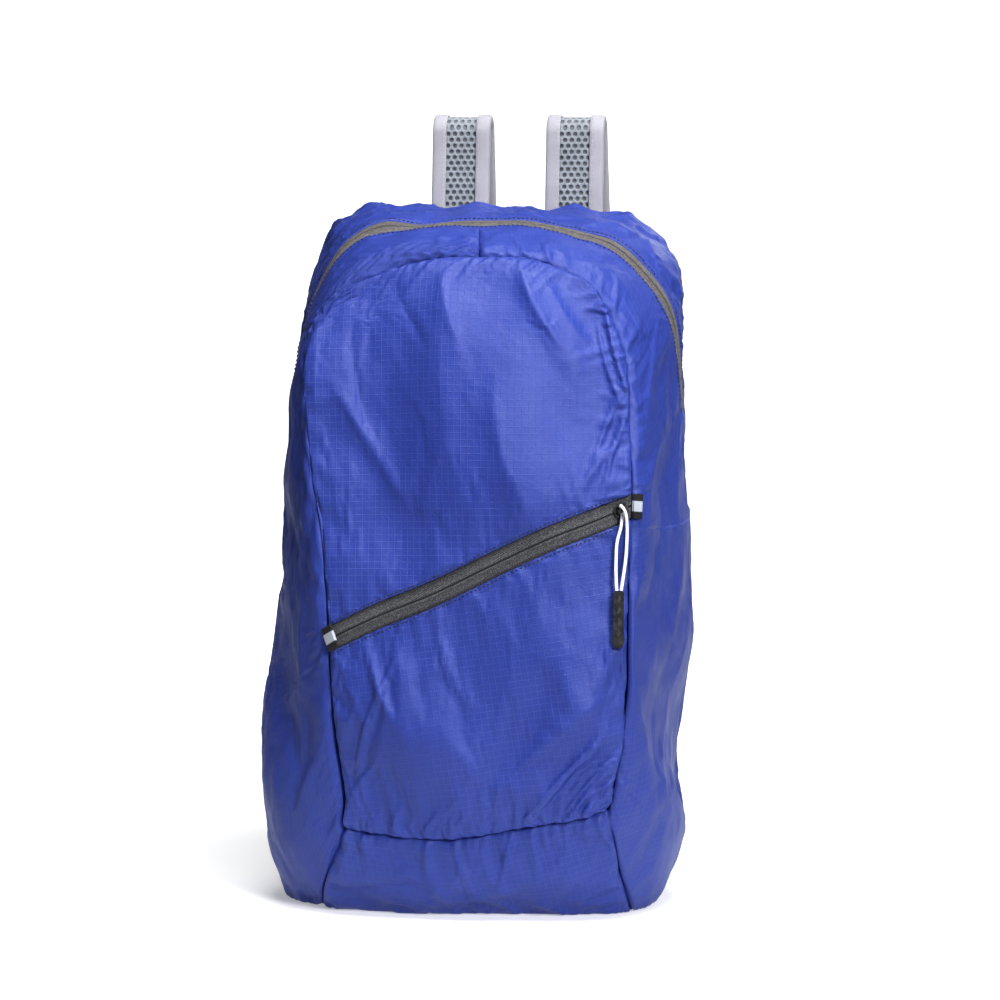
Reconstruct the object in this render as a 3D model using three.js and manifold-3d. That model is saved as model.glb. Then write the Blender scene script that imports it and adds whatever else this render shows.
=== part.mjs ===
// Packable backpack of thin ripstop cloth, stuffed and standing on its flattened bottom.
// Millimetres, +Z up, the front faces -Y, +X is the bag's right side as seen from the front.
import * as THREE from 'three';
import { mergeVertices } from 'three/addons/utils/BufferGeometryUtils.js';
import Module from 'manifold-3d';

const wasm = await Module();
wasm.setup();

// Bag
const BAG_WIDTH = 262;
const BAG_HEIGHT = 434;
const BAG_DEPTH = 150;
const FRONT_CROWN = 11;
const FRONT_ARCH = 2;
const BACK_CROWN = 5;
const BACK_SCALLOP = 2.4;
const CLOTH = 1.2;
const SEAM_GAP = 0.4;
const LAYER_GAP = 0.3;

// Zips
const TAPE = 0.9;
const TAPE_UNDERLAP = 5;
const MAIN_ZIP_WIDTH = 14;
const POCKET_ZIP_WIDTH = 14;
const POCKET_ZIP_HEIGHT_LEFT = 174;
const POCKET_ZIP_HEIGHT_RIGHT = 258;
const MAIN_ZIP_DRIFT = 0.14;
const COIL_WIDTH = 5;
const COIL_THICK = 1.8;
const SLIDER_LENGTH = 9;
const SLIDER_WIDTH = 7;
const SLIDER_PLATE = 1.6;
const SLIDER_CORNER = 2.2;
const BRIDGE_WINDOW = 3.2;
const BRIDGE_WIRE = 1.2;
const BRIDGE_WIDTH = 2.4;
const PLAIN_PULL_LENGTH = 24;
const PLAIN_PULL_WIDTH = 6;
const PLAIN_PULL_THICK = 1.6;
const PLAIN_PULL_CORNER = 2;

// Pull on the pocket slider
const CORD_DIAMETER = 2;
const GRIP_WIDTH = 6;
const GRIP_LENGTH = 34;
const GRIP_THICK = 3.4;
const GRIP_FLARE = 7.4;
const GRIP_LEAN_DEGREES = 4.2;
const FACET_COUNT = 4;
const FACET_RISE = 1.1;
const FACET_SINK = 0.4;
const FACET_MARGIN = 0.5;
const FACET_SHARE = 0.8;
const FACET_START = 1;

// Side tabs at the ends of the pocket zip
const TAB_WIDTH = 15;
const TAB_REACH = 9;
const TAB_THICK = 0.9;
const TAB_LIFT_DEGREES = 22;

// Shoulder straps
const STRAP_WIDTH = 37;
const STRAP_SPACING = 73;
const STRAP_RISE = 56;
const STRAP_FOLD_RADIUS = 8;
const STRAP_LEAN = 6;
const STRAP_BOW = 46;
const STRAP_SPLAY = BAG_WIDTH * 0.1145;
const STRAP_LOWER_END = 128;
const STRAP_SEWN = 30;
const STRAP_MESH_THICK = 2.4;
const STRAP_BACKING_THICK = 1.2;
const BINDING_WIDTH = 9;
const BINDING_THICK = 1;
const WEBBING_WIDTH = 20;
const WEBBING_THICK = 1.4;
const WEBBING_SEWN = 16;
const WEBBING_LOW_SHARE = 0.07;
const WEBBING_RUNOUT = 4;
const LOCK_WIDTH = 32;
const LOCK_BAR = 4;
const LOCK_SLOT = 8;
const LOCK_THICK = 3;
const LOCK_START = 6;
const LOCK_CORNER = 1.5;
const LOOP_STRAIGHT = 1.5;
const TAIL_LENGTH = 34;
const TAIL_DROOP = 1;

const SIDE = new THREE.Vector3(1, 0, 0);
const BAG_SIZE = new THREE.Vector3(BAG_WIDTH / 2, BAG_DEPTH, BAG_HEIGHT);

// Sections round the gusset, clockwise from the left bottom corner: the front seam, the middle of the
// gusset and the back seam, as shares of the half width, the depth and the height.
const SECTIONS = [
  { front: [-0.650, -0.47, 0.134], middle: [-0.89, 0.00, -0.050], back: [-0.78, 0.40, 0.045] },
  { front: [-0.657, -0.49, 0.180], middle: [-1.075, -0.10, 0.052], back: [-0.89, 0.42, 0.09] },
  { front: [-0.685, -0.51, 0.260], middle: [-1.11, -0.12, 0.150], back: [-0.92, 0.43, 0.17] },
  { front: [-0.720, -0.52, 0.387], middle: [-1.09, -0.11, 0.295], back: [-0.93, 0.44, 0.31] },
  { front: [-0.756, -0.51, 0.513], middle: [-1.045, -0.10, 0.453], back: [-0.93, 0.45, 0.47] },
  { front: [-0.832, -0.45, 0.652], middle: [-1.025, -0.07, 0.611], back: [-0.94, 0.45, 0.63] },
  { front: [-0.869, -0.39, 0.756], middle: [-0.99, -0.04, 0.732], back: [-0.955, 0.44, 0.78] },
  { front: [-0.855, -0.33, 0.818], middle: [-0.945, -0.02, 0.820], back: [-0.975, 0.42, 0.86] },
  { front: [-0.792, -0.29, 0.852], middle: [-0.876, -0.01, 0.882], back: [-0.965, 0.42, 0.915] },
  { front: [-0.664, -0.27, 0.891], middle: [-0.743, 0.00, 0.945], back: [-0.90, 0.44, 0.966] },
  { front: [-0.456, -0.24, 0.917], middle: [-0.553, 0.02, 0.978], back: [-0.71, 0.47, 1.0] },
  { front: [-0.259, -0.23, 0.930], middle: [-0.331, 0.03, 0.980], back: [-0.45, 0.49, 0.999] },
  { front: [-0.063, -0.23, 0.934], middle: [-0.107, 0.04, 0.979], back: [-0.19, 0.50, 1.0] },
  { front: [0.168, -0.23, 0.933], middle: [0.127, 0.04, 0.979], back: [0.056, 0.50, 0.996] },
  { front: [0.352, -0.23, 0.915], middle: [0.365, 0.04, 0.964], back: [0.30, 0.49, 0.997] },
  { front: [0.481, -0.25, 0.891], middle: [0.540, 0.04, 0.946], back: [0.53, 0.48, 0.99] },
  { front: [0.569, -0.29, 0.848], middle: [0.705, 0.05, 0.900], back: [0.71, 0.45, 0.955] },
  { front: [0.634, -0.32, 0.807], middle: [0.795, 0.06, 0.856], back: [0.79, 0.41, 0.905] },
  { front: [0.665, -0.37, 0.739], middle: [0.835, 0.06, 0.785], back: [0.78, 0.40, 0.845] },
  { front: [0.689, -0.45, 0.630], middle: [0.863, 0.06, 0.642], back: [0.76, 0.42, 0.70] },
  { front: [0.682, -0.49, 0.506], middle: [0.890, 0.07, 0.476], back: [0.78, 0.44, 0.50] },
  { front: [0.678, -0.52, 0.395], middle: [0.889, 0.05, 0.354], back: [0.77, 0.45, 0.36] },
  { front: [0.659, -0.51, 0.275], middle: [0.840, 0.03, 0.210], back: [0.74, 0.45, 0.20] },
  { front: [0.611, -0.49, 0.203], middle: [0.872, 0.01, 0.108], back: [0.72, 0.44, 0.11] },
  { front: [0.576, -0.47, 0.166], middle: [0.662, 0.00, -0.030], back: [0.60, 0.41, 0.045] },
  { front: [0.440, -0.48, 0.154], middle: [0.44, 0.00, -0.060], back: [0.40, 0.43, 0.035] },
  { front: [0.240, -0.49, 0.141], middle: [0.22, 0.00, -0.060], back: [0.20, 0.44, 0.03] },
  { front: [0.020, -0.49, 0.127], middle: [-0.03, 0.00, -0.060], back: [-0.05, 0.44, 0.03] },
  { front: [-0.204, -0.49, 0.120], middle: [-0.28, 0.00, -0.075], back: [-0.30, 0.44, 0.03] },
  { front: [-0.465, -0.48, 0.124], middle: [-0.60, 0.00, -0.075], back: [-0.60, 0.43, 0.035] },
];

// Soft folds and dents of the stuffed cloth: each runs between two points given as shares of the half
// width, the depth and the height. Its reach is a share of the bag's width and its lift, outward when
// positive, a share of the depth.
const FOLDS = [
  { from: [-0.38, -0.50, 0.78], to: [-0.46, -0.55, 0.60], reach: 0.15, lift: -0.050 },
  { from: [0.12, -0.45, 0.84], to: [0.22, -0.55, 0.60], reach: 0.09, lift: 0.030 },
  { from: [0.20, -0.30, 0.90], to: [0.40, -0.38, 0.80], reach: 0.05, lift: 0.022 },
  { from: [0.50, -0.35, 0.84], to: [0.60, -0.45, 0.68], reach: 0.05, lift: -0.020 },
  { from: [-0.60, -0.60, 0.30], to: [-0.20, -0.60, 0.24], reach: 0.12, lift: 0.030 },
  { from: [0.45, -0.55, 0.33], to: [0.20, -0.52, 0.20], reach: 0.05, lift: 0.026 },
  { from: [0.30, -0.55, 0.34], to: [0.02, -0.52, 0.20], reach: 0.05, lift: -0.018 },
  { from: [0.84, -0.20, 0.62], to: [0.84, -0.20, 0.36], reach: 0.07, lift: -0.026 },
  { from: [0.74, -0.25, 0.16], to: [0.90, -0.05, 0.22], reach: 0.06, lift: 0.022 },
  { from: [-0.98, -0.30, 0.52], to: [-1.00, -0.30, 0.30], reach: 0.08, lift: -0.028 },
  { from: [-0.92, -0.30, 0.12], to: [-1.10, -0.10, 0.30], reach: 0.07, lift: 0.024 },
  { from: [-0.52, -0.05, 0.97], to: [-0.34, 0.10, 1.00], reach: 0.05, lift: -0.024 },
  { from: [0.62, 0.20, 0.96], to: [0.72, 0.30, 0.92], reach: 0.06, lift: 0.026 },
  { from: [-0.78, -0.44, 0.05], to: [0.34, -0.43, 0.05], reach: 0.10, lift: 0.060 },
];

// The walls are thickened towards this inner box, given as shares of the half width, depth and height.
const CORE_LOW = new THREE.Vector3(-0.54, -0.17, 0.14).multiply(BAG_SIZE);
const CORE_HIGH = new THREE.Vector3(0.54, 0.17, 0.9).multiply(BAG_SIZE);

// The sections are numbered round the loop. The front and back panels are four-sided nets whose corners
// lie on the sections named here.
const SECTION_COUNT = SECTIONS.length;
const TOP_LEFT_SECTION = 9;
const TOP_SEAM_SECTION = 12;
const TOP_RIGHT_SECTION = 15;
const BOTTOM_RIGHT_SECTION = 24;
const STEPS_PER_SECTION = 3;

function catmullRom(before, start, end, after, share) {
  const square = share * share;
  const cube = square * share;
  return 0.5 * (2 * start + (end - before) * share
    + (2 * before - 5 * start + 4 * end - after) * square
    + (3 * start - before - 3 * end + after) * cube);
}

// A point of one seam line at a section number, which may lie between two sections.
function seamPoint(line, section) {
  const whole = Math.floor(section);
  const share = section - whole;
  const rows = [-1, 0, 1, 2].map((step) => {
    const index = (whole + step + 2 * SECTION_COUNT) % SECTION_COUNT;
    return SECTIONS[index][line];
  });
  const values = [0, 1, 2].map((axis) => catmullRom(
    rows[0][axis], rows[1][axis], rows[2][axis], rows[3][axis], share));
  const point = new THREE.Vector3(...values).multiply(BAG_SIZE);
  const onTop = section > TOP_LEFT_SECTION - 1 && section < TOP_RIGHT_SECTION + 1;
  if (line === 'back' && onTop) {
    point.z -= BACK_SCALLOP * (0.5 - 0.5 * Math.cos(2 * Math.PI * section));
  }
  return point;
}

const HALVINGS = 40;

// The section number between two limits where the front seam reaches a height.
function sectionAtHeight(height, [lowSection, highSection]) {
  let low = lowSection;
  let high = highSection;
  for (let step = 0; step < HALVINGS; step += 1) {
    const middle = (low + high) / 2;
    if (seamPoint('front', middle).z < height) {
      low = middle;
    } else {
      high = middle;
    }
  }
  return (low + high) / 2;
}

function spread(start, end, count) {
  return Array.from({ length: count }, (_, index) => start + (end - start) * (index + 1) / count);
}

// Rows of the net up one side of the bag, as section numbers counted up from that side's bottom corner.
// They include the pocket zip's edges and the ends of its tapes under the cloth.
const LOWER_FIXED_ROWS = 5;
const LOWER_FREE_ROWS = 3;
const UPPER_FREE_ROWS = 5;
const UPPER_FIXED_START = 7;
const POCKET_LOW_ROW = LOWER_FIXED_ROWS + LOWER_FREE_ROWS + 1;
const POCKET_HIGH_ROW = POCKET_LOW_ROW + 1;
const POCKET_ZIP_ROW = (POCKET_LOW_ROW + POCKET_HIGH_ROW) / 2;

// The pocket zip's ends lie between these sections of the two sides.
const LEFT_ZIP_SECTIONS = [1.7, 6];
const RIGHT_ZIP_SECTIONS = [22.3, 18];
const ZIP_END_SECTION = 4;

function sideRows(zipHeight, sectionOf) {
  const right = seamPoint('front', BOTTOM_RIGHT_SECTION - ZIP_END_SECTION);
  const run = right.x - seamPoint('front', ZIP_END_SECTION).x;
  const slope = Math.atan2(POCKET_ZIP_HEIGHT_RIGHT - POCKET_ZIP_HEIGHT_LEFT, run);
  const half = POCKET_ZIP_WIDTH / 2 / Math.cos(slope);
  const under = TAPE_UNDERLAP / Math.cos(slope);
  const edges = [-half - under, -half, half, half + under].map((offset) => sectionOf(zipHeight + offset));
  const fixedEnd = LOWER_FIXED_ROWS / STEPS_PER_SECTION;
  const upperFixed = (TOP_LEFT_SECTION - UPPER_FIXED_START) * STEPS_PER_SECTION;
  return [
    0,
    ...spread(0, fixedEnd, LOWER_FIXED_ROWS),
    ...spread(fixedEnd, edges[0], LOWER_FREE_ROWS),
    edges[1],
    edges[2],
    edges[3],
    ...spread(edges[3], UPPER_FIXED_START, UPPER_FREE_ROWS),
    ...spread(UPPER_FIXED_START, TOP_LEFT_SECTION, upperFixed),
  ];
}

const LEFT_ROWS = sideRows(
  POCKET_ZIP_HEIGHT_LEFT, (height) => sectionAtHeight(height, LEFT_ZIP_SECTIONS));
const RIGHT_ROWS = sideRows(
  POCKET_ZIP_HEIGHT_RIGHT, (height) => BOTTOM_RIGHT_SECTION - sectionAtHeight(height, RIGHT_ZIP_SECTIONS));
const ROWS = LEFT_ROWS.length - 1;
const COLUMNS = (TOP_RIGHT_SECTION - TOP_LEFT_SECTION) * STEPS_PER_SECTION;
const LOOP = 2 * (ROWS + COLUMNS);
const TOP_SEAM = ROWS + (TOP_SEAM_SECTION - TOP_LEFT_SECTION) * STEPS_PER_SECTION;
const MAIN_ZIP_END_ROW = 12;
const MAIN_ZIP_START = MAIN_ZIP_END_ROW;
const MAIN_ZIP_END = 2 * ROWS + COLUMNS - MAIN_ZIP_END_ROW;

function between(list, place) {
  const whole = Math.min(Math.max(Math.floor(place), 0), list.length - 2);
  return list[whole] + (list[whole + 1] - list[whole]) * (place - whole);
}

// The section number at a place on the loop of rows and columns round the bag.
function loopSection(place) {
  const wrapped = ((place % LOOP) + LOOP) % LOOP;
  if (wrapped <= ROWS) {
    return between(LEFT_ROWS, wrapped);
  }
  if (wrapped <= ROWS + COLUMNS) {
    return TOP_LEFT_SECTION + (wrapped - ROWS) / STEPS_PER_SECTION;
  }
  if (wrapped <= 2 * ROWS + COLUMNS) {
    return BOTTOM_RIGHT_SECTION - between(RIGHT_ROWS, 2 * ROWS + COLUMNS - wrapped);
  }
  return BOTTOM_RIGHT_SECTION + (wrapped - 2 * ROWS - COLUMNS) / STEPS_PER_SECTION;
}

function inward(point) {
  return point.clone().clamp(CORE_LOW, CORE_HIGH).sub(point).normalize();
}

const FOLD_LINES = FOLDS.map((fold) => ({
  line: new THREE.Line3(
    new THREE.Vector3(...fold.from).multiply(BAG_SIZE), new THREE.Vector3(...fold.to).multiply(BAG_SIZE)),
  reach: fold.reach * BAG_WIDTH,
  lift: fold.lift * BAG_DEPTH,
}));

function foldLift(point) {
  const nearest = new THREE.Vector3();
  return FOLD_LINES.reduce((sum, fold) => {
    fold.line.closestPointToPoint(point, true, nearest);
    const distance = nearest.distanceTo(point) / fold.reach;
    return sum + fold.lift * Math.exp(-distance * distance);
  }, 0);
}

// Folds the cloth and flattens it where it rests.
function finishSurface(point) {
  point.addScaledVector(inward(point), -foldLift(point));
  point.z = Math.max(point.z, 0);
  return point;
}

// The gusset: a curve through the front seam, the middle and the back seam of a section.
function gussetPoint(place, across) {
  const section = loopSection(place);
  const front = seamPoint('front', section);
  const middle = seamPoint('middle', section);
  const back = seamPoint('back', section);
  return finishSurface(front.multiplyScalar((1 - across) * (1 - 2 * across))
    .addScaledVector(middle, 4 * across * (1 - across))
    .addScaledVector(back, across * (2 * across - 1)));
}

// How square the bulge of a panel is across it and up it: lower is squarer.
const BULGE_ACROSS = 0.8;
const BULGE_UP = 0.7;

// The front or back panel: a four-sided net stretched in its seam, with its middle pushed out and up.
function panelPoint(line, crown, arch, row, column) {
  const share = column / COLUMNS;
  const leftSection = between(LEFT_ROWS, row);
  const rightSection = between(RIGHT_ROWS, row);
  const rise = THREE.MathUtils.lerp(leftSection, rightSection, share) / TOP_LEFT_SECTION;
  const left = seamPoint(line, leftSection);
  const right = seamPoint(line, BOTTOM_RIGHT_SECTION - rightSection);
  const bottom = seamPoint(line, SECTION_COUNT - column / STEPS_PER_SECTION);
  const top = seamPoint(line, TOP_LEFT_SECTION + column / STEPS_PER_SECTION);
  const corners = [0, TOP_LEFT_SECTION, BOTTOM_RIGHT_SECTION, TOP_RIGHT_SECTION]
    .map((section) => seamPoint(line, section));
  const point = left.multiplyScalar(1 - share)
    .addScaledVector(right, share)
    .addScaledVector(bottom, 1 - rise)
    .addScaledVector(top, rise)
    .addScaledVector(corners[0], -(1 - share) * (1 - rise))
    .addScaledVector(corners[1], -(1 - share) * rise)
    .addScaledVector(corners[2], -share * (1 - rise))
    .addScaledVector(corners[3], -share * rise);
  const bulge = Math.sin(Math.PI * share) ** BULGE_ACROSS * Math.sin(Math.PI * rise) ** BULGE_UP;
  point.y += crown * bulge;
  point.z += arch * bulge;
  return finishSurface(point);
}

const frontPoint = (row, column) => panelPoint('front', -FRONT_CROWN, FRONT_ARCH, row, column);
const backPoint = (row, column) => panelPoint('back', BACK_CROWN, 0, row, column);

// Positions across the gusset of its net lines. The fifth strip is the main zip's opening and the strips
// beside it lie over the tapes.
const ZIP_STRIP = 4;
const STRIPS = 8;
const FRONT_STRIP_SHARES = [0.36, 0.7];

// The last strip before the back seam narrows toward the bottom, where the bag lies flat almost to that seam.
const BACK_STRIP_SHARE = 0.5;
const BOTTOM_BACK_STRIP_SHARE = 0.82;
const BOTTOM_BLEND_SECTIONS = 3;

function gussetArc(place) {
  const section = loopSection(place);
  const middle = seamPoint('middle', section);
  return seamPoint('front', section).distanceTo(middle) + seamPoint('back', section).distanceTo(middle);
}

// The main zip follows the middle of the gusset over the top and drifts back down the sides.
function zipCentre(place) {
  const section = loopSection(place);
  const left = THREE.MathUtils.smoothstep(TOP_LEFT_SECTION - section, 0.5, 4.5);
  const right = THREE.MathUtils.smoothstep(section - TOP_RIGHT_SECTION, 1.5, 5);
  const onSide = section < BOTTOM_RIGHT_SECTION ? Math.max(left, right) : 0;
  return 0.5 + MAIN_ZIP_DRIFT * onSide;
}

function gussetLines(place) {
  const arc = gussetArc(place);
  const centre = zipCentre(place);
  const half = MAIN_ZIP_WIDTH / 2 / arc;
  const under = half + TAPE_UNDERLAP / arc;
  const front = centre - under;
  const back = centre + under;
  const beforeTape = FRONT_STRIP_SHARES.map((share) => front * share);
  const section = loopSection(place);
  const aboveBottom = Math.min(section, BOTTOM_RIGHT_SECTION - section);
  const onSide = THREE.MathUtils.smoothstep(aboveBottom, 0, BOTTOM_BLEND_SECTIONS);
  const backShare = THREE.MathUtils.lerp(BOTTOM_BACK_STRIP_SHARE, BACK_STRIP_SHARE, onSide);
  const lastStrip = THREE.MathUtils.lerp(back, 1, backShare);
  return [0, ...beforeTape, front, centre - half, centre + half, back, lastStrip, 1];
}

const gussetNet = (row, column) => gussetPoint(row, between(gussetLines(row), column));

const NORMAL_STEP = 0.1;

// Surface normal of a net, pointing out of the bag.
function normalAt(net, row, column, lastRow, lastColumn) {
  const step = NORMAL_STEP;
  const rowLow = net(Math.max(row - step, 0), column);
  const rowHigh = net(Math.min(row + step, lastRow), column);
  const columnLow = net(row, Math.max(column - step, 0));
  const columnHigh = net(row, Math.min(column + step, lastColumn));
  const normal = rowHigh.sub(rowLow).cross(columnHigh.sub(columnLow)).normalize();
  const point = net(row, column);
  return normal.dot(inward(point)) > 0 ? normal.negate() : normal;
}

const THINNING_LIMIT = 2;

// A point at a depth under a net, measured square to the cloth but placed towards the core, so that
// neighbouring walls meet along one line.
function underNet(net, row, column, lastRow, lastColumn, depth) {
  const point = net(row, column);
  const direction = inward(point);
  const normal = normalAt(net, row, column, lastRow, lastColumn);
  const slant = Math.min(1 / Math.abs(direction.dot(normal)), THINNING_LIMIT);
  return point.addScaledVector(direction, depth * slant);
}

function volumeOf(positions, triangles) {
  let volume = 0;
  triangles.forEach(([a, b, c]) => {
    volume += positions[a].dot(new THREE.Vector3().crossVectors(positions[b], positions[c])) / 6;
  });
  return volume;
}

// A closed geometry from points and triangles, with its faces pointing out.
function closedGeometry(positions, triangles) {
  const turned = volumeOf(positions, triangles) < 0
    ? triangles.map(([a, b, c]) => [a, c, b])
    : triangles;
  const geometry = new THREE.BufferGeometry();
  geometry.setAttribute('position', new THREE.Float32BufferAttribute(
    positions.flatMap((point) => [point.x, point.y, point.z]), 3));
  geometry.setIndex(turned.flat());
  return geometry;
}

// A wall over the kept cells of a net, between two depths, with closed edges drawn back from its seams.
function wallGeometry({ rows, columns, keep, at, top, bottom }) {
  const kept = (row, column) => row >= 0 && column >= 0 && row < rows && column < columns
    && keep(row, column);
  const faces = [at(top), at(bottom)];
  const positions = [];
  const indexOf = new Map();
  const addVertex = (row, column) => {
    const key = `${row},${column}`;
    if (indexOf.has(key)) {
      return indexOf.get(key);
    }
    const cells = [[-1, -1], [-1, 0], [0, -1], [0, 0]].map(([r, c]) => kept(row + r, column + c));
    const rowSide = Math.sign(cells[2] + cells[3] - cells[0] - cells[1]);
    const columnSide = Math.sign(cells[1] + cells[3] - cells[0] - cells[2]);
    const first = positions.length;
    faces.forEach((face) => {
      const point = face(row, column);
      const moved = point.clone();
      if (rowSide !== 0) {
        moved.addScaledVector(face(row + rowSide, column).sub(point).normalize(), SEAM_GAP / 2);
      }
      if (columnSide !== 0) {
        moved.addScaledVector(face(row, column + columnSide).sub(point).normalize(), SEAM_GAP / 2);
      }
      positions.push(moved);
    });
    indexOf.set(key, first);
    return first;
  };
  const triangles = [];
  const addQuad = (a, b, c, d) => triangles.push([a, b, c], [a, c, d]);
  for (let row = 0; row < rows; row += 1) {
    for (let column = 0; column < columns; column += 1) {
      if (!kept(row, column)) {
        continue;
      }
      const corner = [
        addVertex(row, column), addVertex(row, column + 1),
        addVertex(row + 1, column + 1), addVertex(row + 1, column),
      ];
      addQuad(corner[0], corner[1], corner[2], corner[3]);
      addQuad(corner[3] + 1, corner[2] + 1, corner[1] + 1, corner[0] + 1);
      const neighbours = [[row - 1, column], [row, column + 1], [row + 1, column], [row, column - 1]];
      neighbours.forEach(([nextRow, nextColumn], side) => {
        if (!kept(nextRow, nextColumn)) {
          const start = corner[side];
          const end = corner[(side + 1) % 4];
          addQuad(end, start, start + 1, end + 1);
        }
      });
    }
  }
  return closedGeometry(positions, triangles);
}

const group = new THREE.Group();
group.name = 'packable_backpack';

function material(color, roughness, metalness = 0) {
  return new THREE.MeshStandardMaterial({ color, roughness, metalness });
}

const RIPSTOP_BLUE = [0x4a52b4, 0.55];
const TAPE_GREY = [0x4f4f54, 0.8];
const COIL_BLACK = [0x1c1c20, 0.5];
const HARD_BLACK = [0x141416, 0.35];
const CORD_WHITE = [0xe8e8f0, 0.7];
const MESH_GREY = [0x70767c, 0.85];
const BACKING_GREY = [0x4c4c50, 0.8];
const BINDING_GREY = [0xc4c2cc, 0.75];
const TAB_BLACK = [0x121214, 0.6];

function addMesh(name, geometry, look) {
  const mesh = new THREE.Mesh(geometry, material(...look));
  mesh.name = name;
  group.add(mesh);
  return mesh;
}

// Cloth panels

function netDepth(net, rows, columns) {
  return (depth) => (row, column) => underNet(net, row, column, rows, columns, depth);
}

function addClothPanel(name, net, rows, columns, keep) {
  addMesh(name, wallGeometry({
    rows, columns, keep, at: netDepth(net, rows, columns), top: 0, bottom: CLOTH,
  }), RIPSTOP_BLUE);
}

const inMainZip = (row) => row >= MAIN_ZIP_START && row < MAIN_ZIP_END;
const beforeZip = (row, column) => !inMainZip(row) || column < ZIP_STRIP;

function addShell() {
  addClothPanel('front_panel_lower', frontPoint, ROWS, COLUMNS, (row) => row < POCKET_LOW_ROW);
  addClothPanel('front_panel_upper', frontPoint, ROWS, COLUMNS, (row) => row >= POCKET_HIGH_ROW);
  addClothPanel('back_panel', backPoint, ROWS, COLUMNS, () => true);
  addClothPanel('side_panel_left', gussetNet, LOOP, STRIPS,
    (row, column) => row < TOP_SEAM && beforeZip(row, column));
  addClothPanel('side_panel_right', gussetNet, LOOP, STRIPS,
    (row, column) => row >= TOP_SEAM && row < LOOP - COLUMNS && beforeZip(row, column));
  addClothPanel('bottom_panel', gussetNet, LOOP, STRIPS, (row) => row >= LOOP - COLUMNS);
  addClothPanel('top_back_panel', gussetNet, LOOP, STRIPS,
    (row, column) => inMainZip(row) && column > ZIP_STRIP);
}

// Zip tapes and coils lie under the cloth

const TAPE_TOP = CLOTH + LAYER_GAP;
const TAPE_BOTTOM = TAPE_TOP + TAPE;
const COIL_TOP = TAPE_BOTTOM + LAYER_GAP;

// A strip along a net between lines given as a list per place along it.
function addStrip(name, { net, start, end, lines, top, bottom, look, lastRow, lastColumn }) {
  const count = lines(start).length - 1;
  const strip = (row, column) => net(row + start, between(lines(row + start), column));
  const at = (depth) => (row, column) => {
    const point = strip(row, column);
    const direction = inward(point);
    const across = between(lines(row + start), column);
    const normal = normalAt(net, row + start, across, lastRow, lastColumn);
    const slant = Math.min(1 / Math.abs(direction.dot(normal)), THINNING_LIMIT);
    return point.addScaledVector(direction, depth * slant);
  };
  addMesh(name, wallGeometry({
    rows: end - start, columns: count, keep: () => true, at, top, bottom,
  }), look);
}

function addMainZip() {
  const shared = { net: gussetPoint, start: MAIN_ZIP_START, end: MAIN_ZIP_END, lastRow: LOOP, lastColumn: 1 };
  addStrip('main_zip_tape_front', {
    ...shared, top: TAPE_TOP, bottom: TAPE_BOTTOM, look: TAPE_GREY,
    lines: (place) => [gussetLines(place)[ZIP_STRIP - 1], gussetLines(place)[ZIP_STRIP], zipCentre(place)],
  });
  addStrip('main_zip_tape_back', {
    ...shared, top: TAPE_TOP, bottom: TAPE_BOTTOM, look: TAPE_GREY,
    lines: (place) => [zipCentre(place), gussetLines(place)[ZIP_STRIP + 1],
      gussetLines(place)[ZIP_STRIP + 2]],
  });
  addStrip('main_zip_coil', {
    ...shared, top: COIL_TOP, bottom: COIL_TOP + COIL_THICK, look: COIL_BLACK,
    lines: (place) => [-1, 1].map((side) => zipCentre(place) + side * COIL_WIDTH / 2 / gussetArc(place)),
  });
}

// The pocket zip runs along the front net's columns, so its strips are measured in rows.
const pocketNet = (column, row) => frontPoint(row, column);

const pocketRowAt = (offset) => POCKET_ZIP_ROW + offset / POCKET_ZIP_WIDTH;

function addPocketZip() {
  const shared = { net: pocketNet, start: 0, end: COLUMNS, lastRow: COLUMNS, lastColumn: ROWS };
  addStrip('pocket_zip_tape_lower', {
    ...shared, top: TAPE_TOP, bottom: TAPE_BOTTOM, look: TAPE_GREY,
    lines: () => [POCKET_LOW_ROW - 1, POCKET_LOW_ROW, POCKET_ZIP_ROW],
  });
  addStrip('pocket_zip_tape_upper', {
    ...shared, top: TAPE_TOP, bottom: TAPE_BOTTOM, look: TAPE_GREY,
    lines: () => [POCKET_ZIP_ROW, POCKET_HIGH_ROW, POCKET_HIGH_ROW + 1],
  });
  addStrip('pocket_zip_coil', {
    ...shared, top: COIL_TOP, bottom: COIL_TOP + COIL_THICK, look: COIL_BLACK,
    lines: () => [pocketRowAt(-COIL_WIDTH / 2), pocketRowAt(COIL_WIDTH / 2)],
  });
}

// Booleans

function solidOf(geometry) {
  const bare = geometry.clone();
  bare.deleteAttribute('normal');
  bare.deleteAttribute('uv');
  const merged = mergeVertices(bare, 1e-4);
  return new wasm.Manifold(new wasm.Mesh({
    numProp: 3,
    vertProperties: new Float32Array(merged.attributes.position.array),
    triVerts: new Uint32Array(merged.index.array),
  }));
}

function geometryOf(solid) {
  const mesh = solid.getMesh();
  const geometry = new THREE.BufferGeometry();
  geometry.setAttribute('position', new THREE.BufferAttribute(new Float32Array(mesh.vertProperties), 3));
  geometry.setIndex(new THREE.BufferAttribute(new Uint32Array(mesh.triVerts), 1));
  return geometry;
}

function joined(geometries) {
  const [first, ...rest] = geometries.map(solidOf);
  return geometryOf(rest.reduce((sum, solid) => sum.add(solid), first));
}

function roundedOutline(length, width, radius) {
  const shape = new THREE.Shape();
  const x = length / 2 - radius;
  const y = width / 2 - radius;
  [[x, -y], [x, y], [-x, y], [-x, -y]].forEach(([centreX, centreY], corner) => {
    const start = (corner - 1) * Math.PI / 2;
    shape.absarc(centreX, centreY, radius, start, start + Math.PI / 2);
  });
  return shape;
}

function plate(shape, thickness, curveSegments = 3) {
  return new THREE.ExtrudeGeometry(shape, { depth: thickness, bevelEnabled: false, curveSegments });
}

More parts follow.
